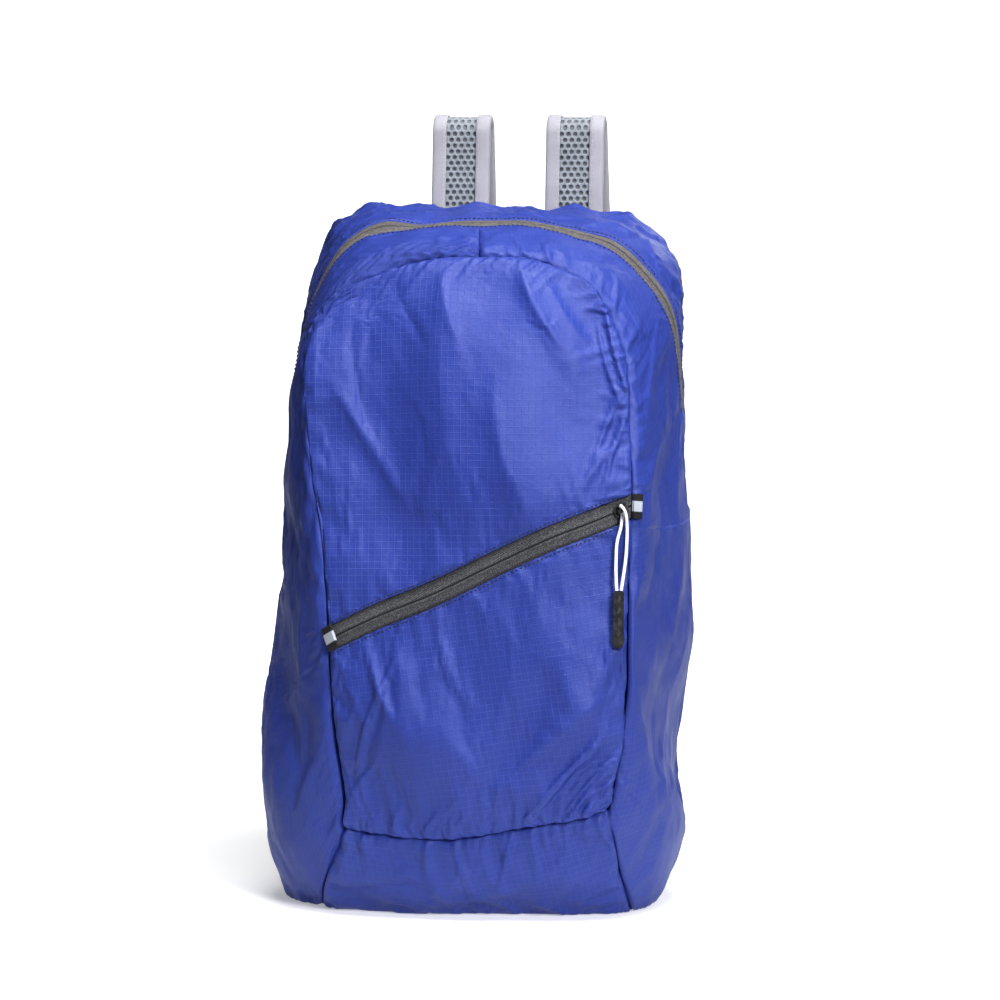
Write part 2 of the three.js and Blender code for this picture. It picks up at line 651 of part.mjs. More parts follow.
// Places a geometry modelled with its x along, its y across and its z out of the surface.
function seat(mesh, origin, along, out) {
  const z = out.clone().normalize();
  const x = along.clone().addScaledVector(z, -along.dot(z)).normalize();
  const y = new THREE.Vector3().crossVectors(z, x);
  mesh.quaternion.setFromRotationMatrix(new THREE.Matrix4().makeBasis(x, y, z));
  mesh.position.copy(origin);
}

function bridgeGeometry() {
  const outer = BRIDGE_WINDOW + 2 * BRIDGE_WIRE;
  const height = SLIDER_PLATE + BRIDGE_WINDOW + BRIDGE_WIRE;
  const shape = new THREE.Shape();
  shape.moveTo(-outer / 2, SLIDER_PLATE / 2);
  shape.lineTo(outer / 2, SLIDER_PLATE / 2);
  shape.lineTo(outer / 2, height - BRIDGE_WIRE);
  shape.lineTo(outer / 2 - BRIDGE_WIRE, height);
  shape.lineTo(-outer / 2 + BRIDGE_WIRE, height);
  shape.lineTo(-outer / 2, height - BRIDGE_WIRE);
  shape.closePath();
  const window = new THREE.Path();
  window.moveTo(-BRIDGE_WINDOW / 2, SLIDER_PLATE);
  window.lineTo(-BRIDGE_WINDOW / 2, SLIDER_PLATE + BRIDGE_WINDOW);
  window.lineTo(BRIDGE_WINDOW / 2, SLIDER_PLATE + BRIDGE_WINDOW);
  window.lineTo(BRIDGE_WINDOW / 2, SLIDER_PLATE);
  window.closePath();
  shape.holes.push(window);
  const geometry = plate(shape, BRIDGE_WIDTH);
  geometry.rotateX(Math.PI / 2);
  geometry.translate(0, BRIDGE_WIDTH / 2, 0);
  return geometry;
}

const POCKET_SLIDER_COLUMN = COLUMNS - 1;
const RIGHT_TAB_PLACE = 2 * ROWS + COLUMNS - POCKET_ZIP_ROW;

function pocketSliderSeat() {
  const surface = netDepth(frontPoint, ROWS, COLUMNS)(TAPE_TOP - LAYER_GAP);
  const origin = surface(POCKET_ZIP_ROW, POCKET_SLIDER_COLUMN);
  const along = surface(POCKET_ZIP_ROW, COLUMNS).sub(surface(POCKET_ZIP_ROW, COLUMNS - 1.5));
  const out = normalAt(frontPoint, POCKET_ZIP_ROW, POCKET_SLIDER_COLUMN, ROWS, COLUMNS);
  return { origin, along, out };
}

function addPocketSlider() {
  const body = plate(roundedOutline(SLIDER_LENGTH, SLIDER_WIDTH, SLIDER_CORNER), SLIDER_PLATE);
  const mesh = addMesh('pocket_zip_slider', joined([body, bridgeGeometry()]), HARD_BLACK);
  const { origin, along, out } = pocketSliderSeat();
  seat(mesh, origin, along, out);
}

function addMainSlider() {
  const body = plate(roundedOutline(SLIDER_LENGTH, SLIDER_WIDTH, SLIDER_CORNER), SLIDER_PLATE * 2);
  const pull = plate(roundedOutline(PLAIN_PULL_LENGTH, PLAIN_PULL_WIDTH, PLAIN_PULL_CORNER), PLAIN_PULL_THICK);
  pull.translate(PLAIN_PULL_LENGTH / 2, 0, SLIDER_PLATE * 2 - PLAIN_PULL_THICK);
  const mesh = addMesh('main_zip_slider', joined([body, pull]), HARD_BLACK);
  const place = MAIN_ZIP_START + 1;
  const at = (row) => gussetPoint(row, zipCentre(row));
  const out = normalAt(gussetPoint, place, zipCentre(place), LOOP, 1);
  const origin = at(place).addScaledVector(out, -(TAPE_TOP - LAYER_GAP));
  seat(mesh, origin, at(place + 1).sub(at(place)), out);
}

// The white cord's loop, chosen by hand, in millimetres right, up and out from the pocket slider's seat.
const CORD_POINTS = [
  [-1.3, -47.3, 9.8],
  [-1.9, -40.5, 8.6],
  [-2.2, -31.0, 7.0],
  [-1.8, -19.0, 5.6],
  [0.4, -9.5, 4.3],
  [1.0, -3.6, 3.5],
  [0.8, 0.2, 3.1],
  [0.3, 3.1, 4.2],
  [1.0, 3.5, 6.6],
  [2.9, 1.2, 7.6],
  [3.9, -2.4, 7.0],
  [4.3, -9.0, 6.0],
  [4.2, -18.0, 5.6],
  [3.7, -28.0, 6.6],
  [2.4, -39.0, 8.2],
  [1.3, -47.3, 9.8],
];
const CORD_STEPS = 40;
const CORD_SIDES = 8;

function fromSlider([right, up, out]) {
  const { origin } = pocketSliderSeat();
  return new THREE.Vector3(origin.x + right, origin.y - out, origin.z + up);
}

function addPullCord() {
  const path = new THREE.CatmullRomCurve3(CORD_POINTS.map(fromSlider));
  const section = new THREE.Shape();
  section.absarc(0, 0, CORD_DIAMETER / 2, 0, 2 * Math.PI);
  addMesh('pull_cord', new THREE.ExtrudeGeometry(section, {
    steps: CORD_STEPS, curveSegments: CORD_SIDES / 2, extrudePath: path,
  }), CORD_WHITE);
}

// One raised diamond of the grip.
function facetGeometry(centre, halfLength, halfWidth) {
  const base = GRIP_THICK / 2 - FACET_SINK;
  const peak = GRIP_THICK / 2 + FACET_RISE;
  const positions = [
    new THREE.Vector3(0, centre - halfLength, base),
    new THREE.Vector3(halfWidth, centre, base),
    new THREE.Vector3(0, centre + halfLength, base),
    new THREE.Vector3(-halfWidth, centre, base),
    new THREE.Vector3(0, centre, peak),
    new THREE.Vector3(0, centre, -peak),
  ];
  const triangles = [];
  for (let side = 0; side < 4; side += 1) {
    const next = (side + 1) % 4;
    triangles.push([side, next, 4], [next, side, 5]);
  }
  return closedGeometry(positions, triangles);
}

// The grip's right edge from the top down, as shares of its length and of half its width.
const GRIP_ROWS = [
  { drop: 0, spread: 0.73 },
  { drop: 0.035, spread: 1 },
  { drop: 0.72, spread: 1 },
  { drop: 0.86, spread: GRIP_FLARE / GRIP_WIDTH },
  { drop: 1, spread: 0.8 },
];

function gripOutline() {
  const half = GRIP_WIDTH / 2;
  const right = GRIP_ROWS.map((row) => new THREE.Vector2(half * row.spread, -GRIP_LENGTH * row.drop));
  const left = right.map((point) => new THREE.Vector2(-point.x, point.y)).reverse();
  return new THREE.Shape([...right, ...left]);
}

function addGrip() {
  const body = plate(gripOutline(), GRIP_THICK);
  body.translate(0, 0, -GRIP_THICK / 2);
  const pitch = GRIP_LENGTH * FACET_SHARE / FACET_COUNT;
  const facets = spread(0, -pitch * FACET_COUNT, FACET_COUNT)
    .map((end) => facetGeometry(end + pitch / 2 - FACET_START, pitch / 2, GRIP_WIDTH / 2 - FACET_MARGIN));
  const mesh = addMesh('pull_grip', joined([body, ...facets]), HARD_BLACK);
  const [start, end] = [CORD_POINTS[0], CORD_POINTS[CORD_POINTS.length - 1]];
  const middle = [(start[0] + end[0]) / 2, start[1] - LAYER_GAP, start[2]];
  const lean = THREE.MathUtils.degToRad(GRIP_LEAN_DEGREES);
  const out = new THREE.Vector3(0, -Math.cos(lean), Math.sin(lean));
  seat(mesh, fromSlider(middle), SIDE, out);
}

// A closed band or bar: one section carried along a path of points, each with its side direction.
function sweepGeometry(points, outline, sideHint) {
  const last = points.length - 1;
  const positions = [];
  points.forEach((point, index) => {
    const tangent = points[Math.min(index + 1, last)].clone().sub(points[Math.max(index - 1, 0)]).normalize();
    const side = sideHint.clone().addScaledVector(tangent, -sideHint.dot(tangent)).normalize();
    const up = new THREE.Vector3().crossVectors(tangent, side);
    outline.forEach(([across, raised]) => {
      positions.push(point.clone().addScaledVector(side, across).addScaledVector(up, raised));
    });
  });
  const count = outline.length;
  const triangles = [];
  for (let ring = 0; ring < last; ring += 1) {
    for (let corner = 0; corner < count; corner += 1) {
      const next = (corner + 1) % count;
      const a = ring * count + corner;
      const b = ring * count + next;
      triangles.push([a, b, b + count], [a, b + count, a + count]);
    }
  }
  const flat = outline.map(([across, raised]) => new THREE.Vector2(across, raised));
  THREE.ShapeUtils.triangulateShape(flat, []).forEach(([a, b, c]) => {
    const clockwise = THREE.ShapeUtils.isClockWise([flat[a], flat[b], flat[c]]);
    const outlineClockwise = THREE.ShapeUtils.isClockWise(flat);
    const [p, q, r] = clockwise === outlineClockwise ? [a, b, c] : [a, c, b];
    triangles.push([r, q, p], [p + last * count, q + last * count, r + last * count]);
  });
  return closedGeometry(positions, triangles);
}

function bandOutline(low, high, bottom, top) {
  return [[low, bottom], [high, bottom], [high, top], [low, top]];
}

// Shoulder straps

const MESH_BOTTOM = -LAYER_GAP / 2 - STRAP_MESH_THICK;
const BACKING_TOP = LAYER_GAP / 2 + STRAP_BACKING_THICK;
const CORE_HALF = STRAP_WIDTH / 2 - BINDING_THICK - LAYER_GAP;
const STRAP_FRONT = MESH_BOTTOM - LAYER_GAP - BINDING_THICK;
const STRAP_BACK = BACKING_TOP + LAYER_GAP + BINDING_THICK;

// The folded binding round one edge of the strap.
function bindingOutline(sign) {
  const outer = STRAP_WIDTH / 2;
  const inner = outer - BINDING_WIDTH;
  return [
    [inner, STRAP_FRONT], [outer, STRAP_FRONT], [outer, STRAP_BACK], [inner, STRAP_BACK],
    [inner, STRAP_BACK - BINDING_THICK], [outer - BINDING_THICK, STRAP_BACK - BINDING_THICK],
    [outer - BINDING_THICK, STRAP_FRONT + BINDING_THICK], [inner, STRAP_FRONT + BINDING_THICK],
  ].map(([across, raised]) => [sign * across, raised]);
}

const SEARCH_STEPS = 30;
const SEARCH_PROBE = 0.2;
const SEARCH_EASE = 0.7;

// The point of the back panel at a distance from the middle plane and a height.
function backAt(x, z) {
  let row = ROWS / 2;
  let column = COLUMNS / 2;
  for (let step = 0; step < SEARCH_STEPS; step += 1) {
    const here = backPoint(row, column);
    const perRow = Math.max((backPoint(row + SEARCH_PROBE, column).z - here.z) / SEARCH_PROBE, 1);
    const perColumn = Math.max((backPoint(row, column + SEARCH_PROBE).x - here.x) / SEARCH_PROBE, 1);
    row = THREE.MathUtils.clamp(row + SEARCH_EASE * (z - here.z) / perRow, 0, ROWS - SEARCH_PROBE);
    column = THREE.MathUtils.clamp(
      column + SEARCH_EASE * (x - here.x) / perColumn, 0, COLUMNS - SEARCH_PROBE);
  }
  return backPoint(row, column);
}

// The furthest back that the back panel reaches behind a band of a given width.
function backReach(x, width, z) {
  const places = [-0.5, -0.25, 0, 0.25, 0.5].map((share) => backAt(x + share * width, z).y);
  return Math.max(...places);
}

const STRAP_STAND = LAYER_GAP * 2 - STRAP_FRONT;
const SEWN_SHARES = [1, 0.55, 0.15];
const FOLD_DEGREES = [0, 30, 60, 90, 120, 150, 180];

// The strap's way up from the bag to its fold, as shares of its rise and of its lean to the back.
const STRAP_UP_ROWS = [
  { rise: 0.14, lean: 0.25 },
  { rise: 0.45, lean: 0.67 },
];

// Its way down from the fold, as shares of the drop, of the bow to the back and of the splay sideways.
const STRAP_DOWN_ROWS = [
  { drop: 0.2, bow: 0.62, splay: 0.03 },
  { drop: 0.4, bow: 0.94, splay: 0.15 },
  { drop: 0.6, bow: 1.0, splay: 0.4 },
  { drop: 0.8, bow: 0.86, splay: 0.75 },
  { drop: 1.0, bow: 0.55, splay: 1.0 },
];

function strapPath(sign) {
  const x = sign * STRAP_SPACING / 2;
  const sewn = SEWN_SHARES.map((share) => {
    const z = BAG_HEIGHT - BACK_SCALLOP - STRAP_SEWN * share;
    return new THREE.Vector3(x, backReach(x, STRAP_WIDTH, z) + STRAP_STAND, z);
  });
  const sewnY = sewn[sewn.length - 1].y;
  const up = STRAP_UP_ROWS.map(({ rise, lean }) => new THREE.Vector3(
    x, sewnY + STRAP_LEAN * lean, BAG_HEIGHT + STRAP_RISE * rise));
  const foldY = sewnY + STRAP_LEAN + STRAP_FOLD_RADIUS;
  const foldZ = BAG_HEIGHT + STRAP_RISE - STRAP_FOLD_RADIUS - (STRAP_BACK - STRAP_FRONT) / 2;
  const fold = FOLD_DEGREES.map((degrees) => {
    const angle = THREE.MathUtils.degToRad(degrees);
    return new THREE.Vector3(
      x, foldY - STRAP_FOLD_RADIUS * Math.cos(angle), foldZ + STRAP_FOLD_RADIUS * Math.sin(angle));
  });
  const down = STRAP_DOWN_ROWS.map(({ drop, bow, splay }) => new THREE.Vector3(
    x + sign * STRAP_SPLAY * splay,
    THREE.MathUtils.lerp(foldY + STRAP_FOLD_RADIUS, sewnY + STRAP_BOW, bow),
    THREE.MathUtils.lerp(foldZ, STRAP_LOWER_END, drop)));
  return [...sewn, ...up, ...fold, ...down];
}

// The frame at the strap's lower end: along the strap, across it and out of its backing.
function lowerFrame(path) {
  const end = path[path.length - 1];
  const along = end.clone().sub(path[path.length - 2]).normalize();
  const across = SIDE.clone().addScaledVector(along, -SIDE.dot(along)).normalize();
  const out = new THREE.Vector3().crossVectors(along, across);
  return { end, along, out, across };
}

function onFrame(frame, forward, raised) {
  return frame.end.clone().addScaledVector(frame.along, forward).addScaledVector(frame.out, raised);
}

// A hairpin round a bar: out on one side, round the bar's far or near edge and back on the other side.
function hairpin(barCentre, reach, turn) {
  return [-90, -60, -30, 0, 30, 60, 90].map((degrees) => {
    const angle = THREE.MathUtils.degToRad(degrees);
    return [barCentre + turn * reach * Math.cos(angle), reach * Math.sin(angle)];
  });
}

const UPPER_BAR = LOCK_START + LOCK_BAR / 2;
const MIDDLE_BAR = UPPER_BAR + LOCK_BAR + LOCK_SLOT;
const LOCK_LENGTH = 3 * LOCK_BAR + 2 * LOCK_SLOT;
const BAR_REACH = Math.hypot(LOCK_BAR, LOCK_THICK) / 2 + LAYER_GAP + WEBBING_THICK / 2;
const WEBBING_BAND = bandOutline(
  -WEBBING_WIDTH / 2, WEBBING_WIDTH / 2, -WEBBING_THICK / 2, WEBBING_THICK / 2);

function addLadderLock(suffix, frame) {
  const middle = LOCK_START + LOCK_LENGTH / 2;
  const bars = [-1, 0, 1].map((step) => {
    const bar = new THREE.BoxGeometry(LOCK_BAR, LOCK_WIDTH - LOCK_BAR, LOCK_THICK);
    return bar.translate(middle + step * (LOCK_BAR + LOCK_SLOT), 0, 0);
  });
  const rails = [-1, 1].map((side) => {
    const rail = plate(roundedOutline(LOCK_LENGTH, LOCK_BAR, LOCK_CORNER), LOCK_THICK);
    return rail.translate(middle, side * (LOCK_WIDTH - LOCK_BAR) / 2, -LOCK_THICK / 2);
  });
  const mesh = addMesh(`ladder_lock_${suffix}`, joined([...bars, ...rails]), HARD_BLACK);
  seat(mesh, frame.end, frame.along, frame.out);
}

function addEndLoop(suffix, frame) {
  const clearFront = STRAP_FRONT - LAYER_GAP - WEBBING_THICK / 2;
  const clearBack = STRAP_BACK + LAYER_GAP + WEBBING_THICK / 2;
  const route = [
    [-WEBBING_SEWN, clearFront], [-LOOP_STRAIGHT, clearFront],
    ...hairpin(UPPER_BAR, BAR_REACH, 1),
    [-LOOP_STRAIGHT, clearBack], [-WEBBING_SEWN, clearBack],
  ];
  const points = route.map(([forward, raised]) => onFrame(frame, forward, raised));
  addMesh(`strap_end_loop_${suffix}`, sweepGeometry(points, WEBBING_BAND, frame.across), BACKING_GREY);
}

function addLowerWebbing(suffix, frame) {
  const lockEnd = LOCK_START + LOCK_LENGTH;
  const route = [
    [lockEnd + TAIL_LENGTH, -BAR_REACH - TAIL_DROOP], [lockEnd, -BAR_REACH],
    ...hairpin(MIDDLE_BAR, BAR_REACH, -1),
    [lockEnd, BAR_REACH], [lockEnd + WEBBING_RUNOUT, BAR_REACH],
  ];
  const points = route.map(([forward, raised]) => onFrame(frame, forward, raised));
  const lowZ = BAG_HEIGHT * WEBBING_LOW_SHARE;
  const anchorX = frame.end.x + frame.along.x * (frame.end.z - lowZ) / Math.abs(frame.along.z);
  const stand = WEBBING_THICK / 2 + LAYER_GAP * 2;
  [lowZ + WEBBING_SEWN, lowZ].forEach((z) => {
    points.push(new THREE.Vector3(anchorX, backReach(anchorX, WEBBING_WIDTH, z) + stand, z));
  });
  addMesh(`lower_webbing_${suffix}`, sweepGeometry(points, WEBBING_BAND, frame.across), BACKING_GREY);
}

function addStrap(suffix, sign) {
  const path = strapPath(sign);
  const innerSign = -sign;
  const add = (name, outline, look) => addMesh(
    `${name}_${suffix}`, sweepGeometry(path, outline, SIDE), look);
  add('strap_mesh', bandOutline(-CORE_HALF, CORE_HALF, MESH_BOTTOM, -LAYER_GAP / 2), MESH_GREY);
  add('strap_backing', bandOutline(-CORE_HALF, CORE_HALF, LAYER_GAP / 2, BACKING_TOP), BACKING_GREY);
  add('strap_binding_inner', bindingOutline(innerSign), BINDING_GREY);
  add('strap_binding_outer', bindingOutline(sign), BINDING_GREY);
  const frame = lowerFrame(path);
  addEndLoop(suffix, frame);
  addLadderLock(suffix, frame);
  addLowerWebbing(suffix, frame);
}

// A short ribbon folded in two at each end of the pocket zip, sewn into the front seam. The right one
// lies out over the gusset and the left one in over the zip.
function addTab(suffix, place, flatStep) {
  const seam = gussetPoint(place, 0);
  const along = gussetPoint(place + 0.5, 0).sub(gussetPoint(place - 0.5, 0)).normalize();
  const flat = flatStep().sub(seam).normalize();
  const outward = inward(seam).negate();
  const lift = THREE.MathUtils.degToRad(TAB_LIFT_DEGREES);
  const reachLine = flat.clone().multiplyScalar(Math.cos(lift)).addScaledVector(outward, Math.sin(lift));
  const raise = new THREE.Vector3().crossVectors(reachLine, along).normalize();
  if (raise.dot(outward) < 0) {
    raise.negate();
  }
  const across = new THREE.Vector3().crossVectors(raise, reachLine);
  const half = TAB_THICK / 2 + LAYER_GAP / 2;
  const route = [[0, half], [TAB_REACH * 0.5, half], ...hairpin(TAB_REACH - half, half, 1).reverse(),
    [TAB_REACH * 0.5, -half], [0, -half]];
  const base = seam.clone().addScaledVector(outward, LAYER_GAP + TAB_THICK + LAYER_GAP);
  const points = route.map(([forward, raised]) => base.clone()
    .addScaledVector(reachLine, forward).addScaledVector(raise, raised));
  const ribbon = bandOutline(-TAB_WIDTH / 2, TAB_WIDTH / 2, -TAB_THICK / 2, TAB_THICK / 2);
  addMesh(`tab_${suffix}`, sweepGeometry(points, ribbon, across), TAB_BLACK);
}

addShell();
addMainZip();
addMainSlider();
addPocketZip();
addPocketSlider();
addPullCord();
addGrip();
addTab('left', POCKET_ZIP_ROW, () => frontPoint(POCKET_ZIP_ROW, 1));
addTab('right', RIGHT_TAB_PLACE, () => gussetPoint(RIGHT_TAB_PLACE, 0.08));
addStrap('left', -1);
addStrap('right', 1);

// The origin is the middle of the part's footprint.
const box = new THREE.Box3().setFromObject(group);
const shift = new THREE.Vector3(-(box.min.x + box.max.x) / 2, -(box.min.y + box.max.y) / 2, -box.min.z);
group.children.forEach((mesh) => mesh.position.add(shift));

export default group;
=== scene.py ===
import math
from contextlib import contextmanager

import bmesh
import bpy
import numpy as np
from mathutils import Matrix, Vector


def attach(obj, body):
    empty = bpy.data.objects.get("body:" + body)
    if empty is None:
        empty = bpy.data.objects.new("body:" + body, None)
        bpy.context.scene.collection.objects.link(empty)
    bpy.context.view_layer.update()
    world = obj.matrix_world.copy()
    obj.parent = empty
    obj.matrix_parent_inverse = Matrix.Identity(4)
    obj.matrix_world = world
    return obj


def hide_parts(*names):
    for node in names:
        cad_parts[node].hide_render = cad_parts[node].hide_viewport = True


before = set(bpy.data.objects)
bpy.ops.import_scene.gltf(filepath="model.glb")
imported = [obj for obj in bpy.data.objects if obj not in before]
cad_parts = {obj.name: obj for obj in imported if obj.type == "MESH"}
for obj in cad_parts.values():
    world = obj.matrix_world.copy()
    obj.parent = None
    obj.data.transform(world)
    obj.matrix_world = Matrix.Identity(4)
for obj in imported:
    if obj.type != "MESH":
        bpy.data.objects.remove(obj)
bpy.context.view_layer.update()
BODY = "root"
MM = 0.001

# Sizes of the bag in millimetres, in a frame with its origin under the middle of the front seam.
# SHIFT moves that frame to the part's own.
SHIFT = np.array([14.683, -20.241, 0.0])
BAG_WIDTH, BAG_DEPTH, BAG_HEIGHT = 262.0, 150.0, 434.0
BAG_SIZE = np.array([BAG_WIDTH / 2, BAG_DEPTH, BAG_HEIGHT])
FRONT_CROWN, FRONT_ARCH, BACK_CROWN, BACK_SCALLOP = 11.0, 2.0, 5.0, 2.4
CLOTH, LAYER_GAP, TAPE_UNDERLAP = 1.2, 0.3, 5.0
ZIP_WIDTH = 14.0
POCKET_ZIP_HEIGHTS = (174.0, 258.0)
MAIN_ZIP_DRIFT = 0.14
TAPE_DEPTH = CLOTH + LAYER_GAP
MAIN_TAPE_DEPTH = LAYER_GAP

# Front seam, middle of the gusset and back seam, clockwise from the left bottom corner, as shares of the
# half width, depth and height.
SECTIONS = np.array([
    ((-0.650, -0.47, 0.134), (-0.89, 0.00, -0.050), (-0.78, 0.40, 0.045)),
    ((-0.657, -0.49, 0.180), (-1.075, -0.10, 0.052), (-0.89, 0.42, 0.09)),
    ((-0.685, -0.51, 0.260), (-1.11, -0.12, 0.150), (-0.92, 0.43, 0.17)),
    ((-0.720, -0.52, 0.387), (-1.09, -0.11, 0.295), (-0.93, 0.44, 0.31)),
    ((-0.756, -0.51, 0.513), (-1.045, -0.10, 0.453), (-0.93, 0.45, 0.47)),
    ((-0.832, -0.45, 0.652), (-1.025, -0.07, 0.611), (-0.94, 0.45, 0.63)),
    ((-0.869, -0.39, 0.756), (-0.99, -0.04, 0.732), (-0.955, 0.44, 0.78)),
    ((-0.855, -0.33, 0.818), (-0.945, -0.02, 0.820), (-0.975, 0.42, 0.86)),
    ((-0.792, -0.29, 0.852), (-0.876, -0.01, 0.882), (-0.965, 0.42, 0.915)),
    ((-0.664, -0.27, 0.891), (-0.743, 0.00, 0.945), (-0.90, 0.44, 0.966)),
    ((-0.456, -0.24, 0.917), (-0.553, 0.02, 0.978), (-0.71, 0.47, 1.0)),
    ((-0.259, -0.23, 0.930), (-0.331, 0.03, 0.980), (-0.45, 0.49, 0.999)),
    ((-0.063, -0.23, 0.934), (-0.107, 0.04, 0.979), (-0.19, 0.50, 1.0)),
    ((0.168, -0.23, 0.933), (0.127, 0.04, 0.979), (0.056, 0.50, 0.996)),
    ((0.352, -0.23, 0.915), (0.365, 0.04, 0.964), (0.30, 0.49, 0.997)),
    ((0.481, -0.25, 0.891), (0.540, 0.04, 0.946), (0.53, 0.48, 0.99)),
    ((0.569, -0.29, 0.848), (0.705, 0.05, 0.900), (0.71, 0.45, 0.955)),
    ((0.634, -0.32, 0.807), (0.795, 0.06, 0.856), (0.79, 0.41, 0.905)),
    ((0.665, -0.37, 0.739), (0.835, 0.06, 0.785), (0.78, 0.40, 0.845)),
    ((0.689, -0.45, 0.630), (0.863, 0.06, 0.642), (0.76, 0.42, 0.70)),
    ((0.682, -0.49, 0.506), (0.890, 0.07, 0.476), (0.78, 0.44, 0.50)),
    ((0.678, -0.52, 0.395), (0.889, 0.05, 0.354), (0.77, 0.45, 0.36)),
    ((0.659, -0.51, 0.275), (0.840, 0.03, 0.210), (0.74, 0.45, 0.20)),
    ((0.611, -0.49, 0.203), (0.872, 0.01, 0.108), (0.72, 0.44, 0.11)),
    ((0.576, -0.47, 0.166), (0.662, 0.00, -0.030), (0.60, 0.41, 0.045)),
    ((0.440, -0.48, 0.154), (0.44, 0.00, -0.060), (0.40, 0.43, 0.035)),
    ((0.240, -0.49, 0.141), (0.22, 0.00, -0.060), (0.20, 0.44, 0.03)),
    ((0.020, -0.49, 0.127), (-0.03, 0.00, -0.060), (-0.05, 0.44, 0.03)),
    ((-0.204, -0.49, 0.120), (-0.28, 0.00, -0.075), (-0.30, 0.44, 0.03)),
    ((-0.465, -0.48, 0.124), (-0.60, 0.00, -0.075), (-0.60, 0.43, 0.035)),
])
SEAMS = {"front": 0, "middle": 1, "back": 2}
SECTION_COUNT = len(SECTIONS)
TOP_LEFT, TOP_SEAM_SECTION, TOP_RIGHT, BOTTOM_RIGHT = 9, 12, 15, 24

# Broad folds: two ends as shares of the bag, reach as a share of its width, lift as one of its depth.
FOLDS = (
    ((-0.38, -0.50, 0.78), (-0.46, -0.55, 0.60), 0.15, -0.050),
    ((0.12, -0.45, 0.84), (0.22, -0.55, 0.60), 0.09, 0.030),
    ((0.20, -0.30, 0.90), (0.40, -0.38, 0.80), 0.05, 0.022),
    ((0.50, -0.35, 0.84), (0.60, -0.45, 0.68), 0.05, -0.020),
    ((-0.60, -0.60, 0.30), (-0.20, -0.60, 0.24), 0.12, 0.030),
    ((0.45, -0.55, 0.33), (0.20, -0.52, 0.20), 0.05, 0.026),
    ((0.30, -0.55, 0.34), (0.02, -0.52, 0.20), 0.05, -0.018),
    ((0.84, -0.20, 0.62), (0.84, -0.20, 0.36), 0.07, -0.026),
    ((0.74, -0.25, 0.16), (0.90, -0.05, 0.22), 0.06, 0.022),
    ((-0.98, -0.30, 0.52), (-1.00, -0.30, 0.30), 0.08, -0.028),
    ((-0.92, -0.30, 0.12), (-1.10, -0.10, 0.30), 0.07, 0.024),
    ((-0.52, -0.05, 0.97), (-0.34, 0.10, 1.00), 0.05, -0.024),
    ((0.62, 0.20, 0.96), (0.72, 0.30, 0.92), 0.06, 0.026),
    ((-0.78, -0.44, 0.05), (0.34, -0.43, 0.05), 0.10, 0.060),
)
CORE_LOW = np.array([-0.54, -0.17, 0.14]) * BAG_SIZE
CORE_HIGH = np.array([0.54, 0.17, 0.9]) * BAG_SIZE

# Rows up the sides and columns across: the net shared by the panels, zips and tabs.
LOWER_FIXED, LOWER_FREE, UPPER_FREE, UPPER_START = 5, 3, 5, 7
POCKET_LOW = LOWER_FIXED + LOWER_FREE + 1
POCKET_HIGH = POCKET_LOW + 1
POCKET_ZIP = (POCKET_LOW + POCKET_HIGH) / 2
STEPS = 3


def catmull_rom(before, start, end, after, share):
    return 0.5 * (2 * start + (end - before) * share
                  + (2 * before - 5 * start + 4 * end - after) * share ** 2
                  + (3 * start - before - 3 * end + after) * share ** 3)


def seam_point(seam, section):
    """Points of a seam line at section numbers, by a closed Catmull-Rom curve."""
    section = np.asarray(section, float)
    whole = np.floor(section).astype(int)
    share = (section - whole)[..., None]
    rows = SECTIONS[:, SEAMS[seam]]
    before, start, end, after = (rows[(whole + step) % SECTION_COUNT] for step in (-1, 0, 1, 2))
    point = catmull_rom(before, start, end, after, share) * BAG_SIZE
    if seam == "back":
        on_top = (section > TOP_LEFT - 1) & (section < TOP_RIGHT + 1)
        point[..., 2] -= on_top * BACK_SCALLOP * (0.5 - 0.5 * np.cos(2 * np.pi * section))
    return point


def section_at_height(height, low, high):
    for _ in range(40):
        middle = (low + high) / 2
        if seam_point("front", middle)[2] < height:
            low = middle
        else:
            high = middle
    return (low + high) / 2


def side_rows(zip_height, section_of):
    """Section numbers, counted up from the bottom corner, of the rows up one side."""
    run = seam_point("front", BOTTOM_RIGHT - 4)[0] - seam_point("front", 4)[0]
    slope = math.atan2(POCKET_ZIP_HEIGHTS[1] - POCKET_ZIP_HEIGHTS[0], run)
    half = ZIP_WIDTH / 2 / math.cos(slope)
    under = TAPE_UNDERLAP / math.cos(slope)
    edges = [section_of(zip_height + offset) for offset in (-half - under, -half, half, half + under)]
    fixed = LOWER_FIXED / STEPS
    return np.concatenate([
        np.linspace(0, fixed, LOWER_FIXED + 1),
        np.linspace(fixed, edges[0], LOWER_FREE + 1)[1:],
        edges[1:],
        np.linspace(edges[3], UPPER_START, UPPER_FREE + 1)[1:],
        np.linspace(UPPER_START, TOP_LEFT, (TOP_LEFT - UPPER_START) * STEPS + 1)[1:],
    ])


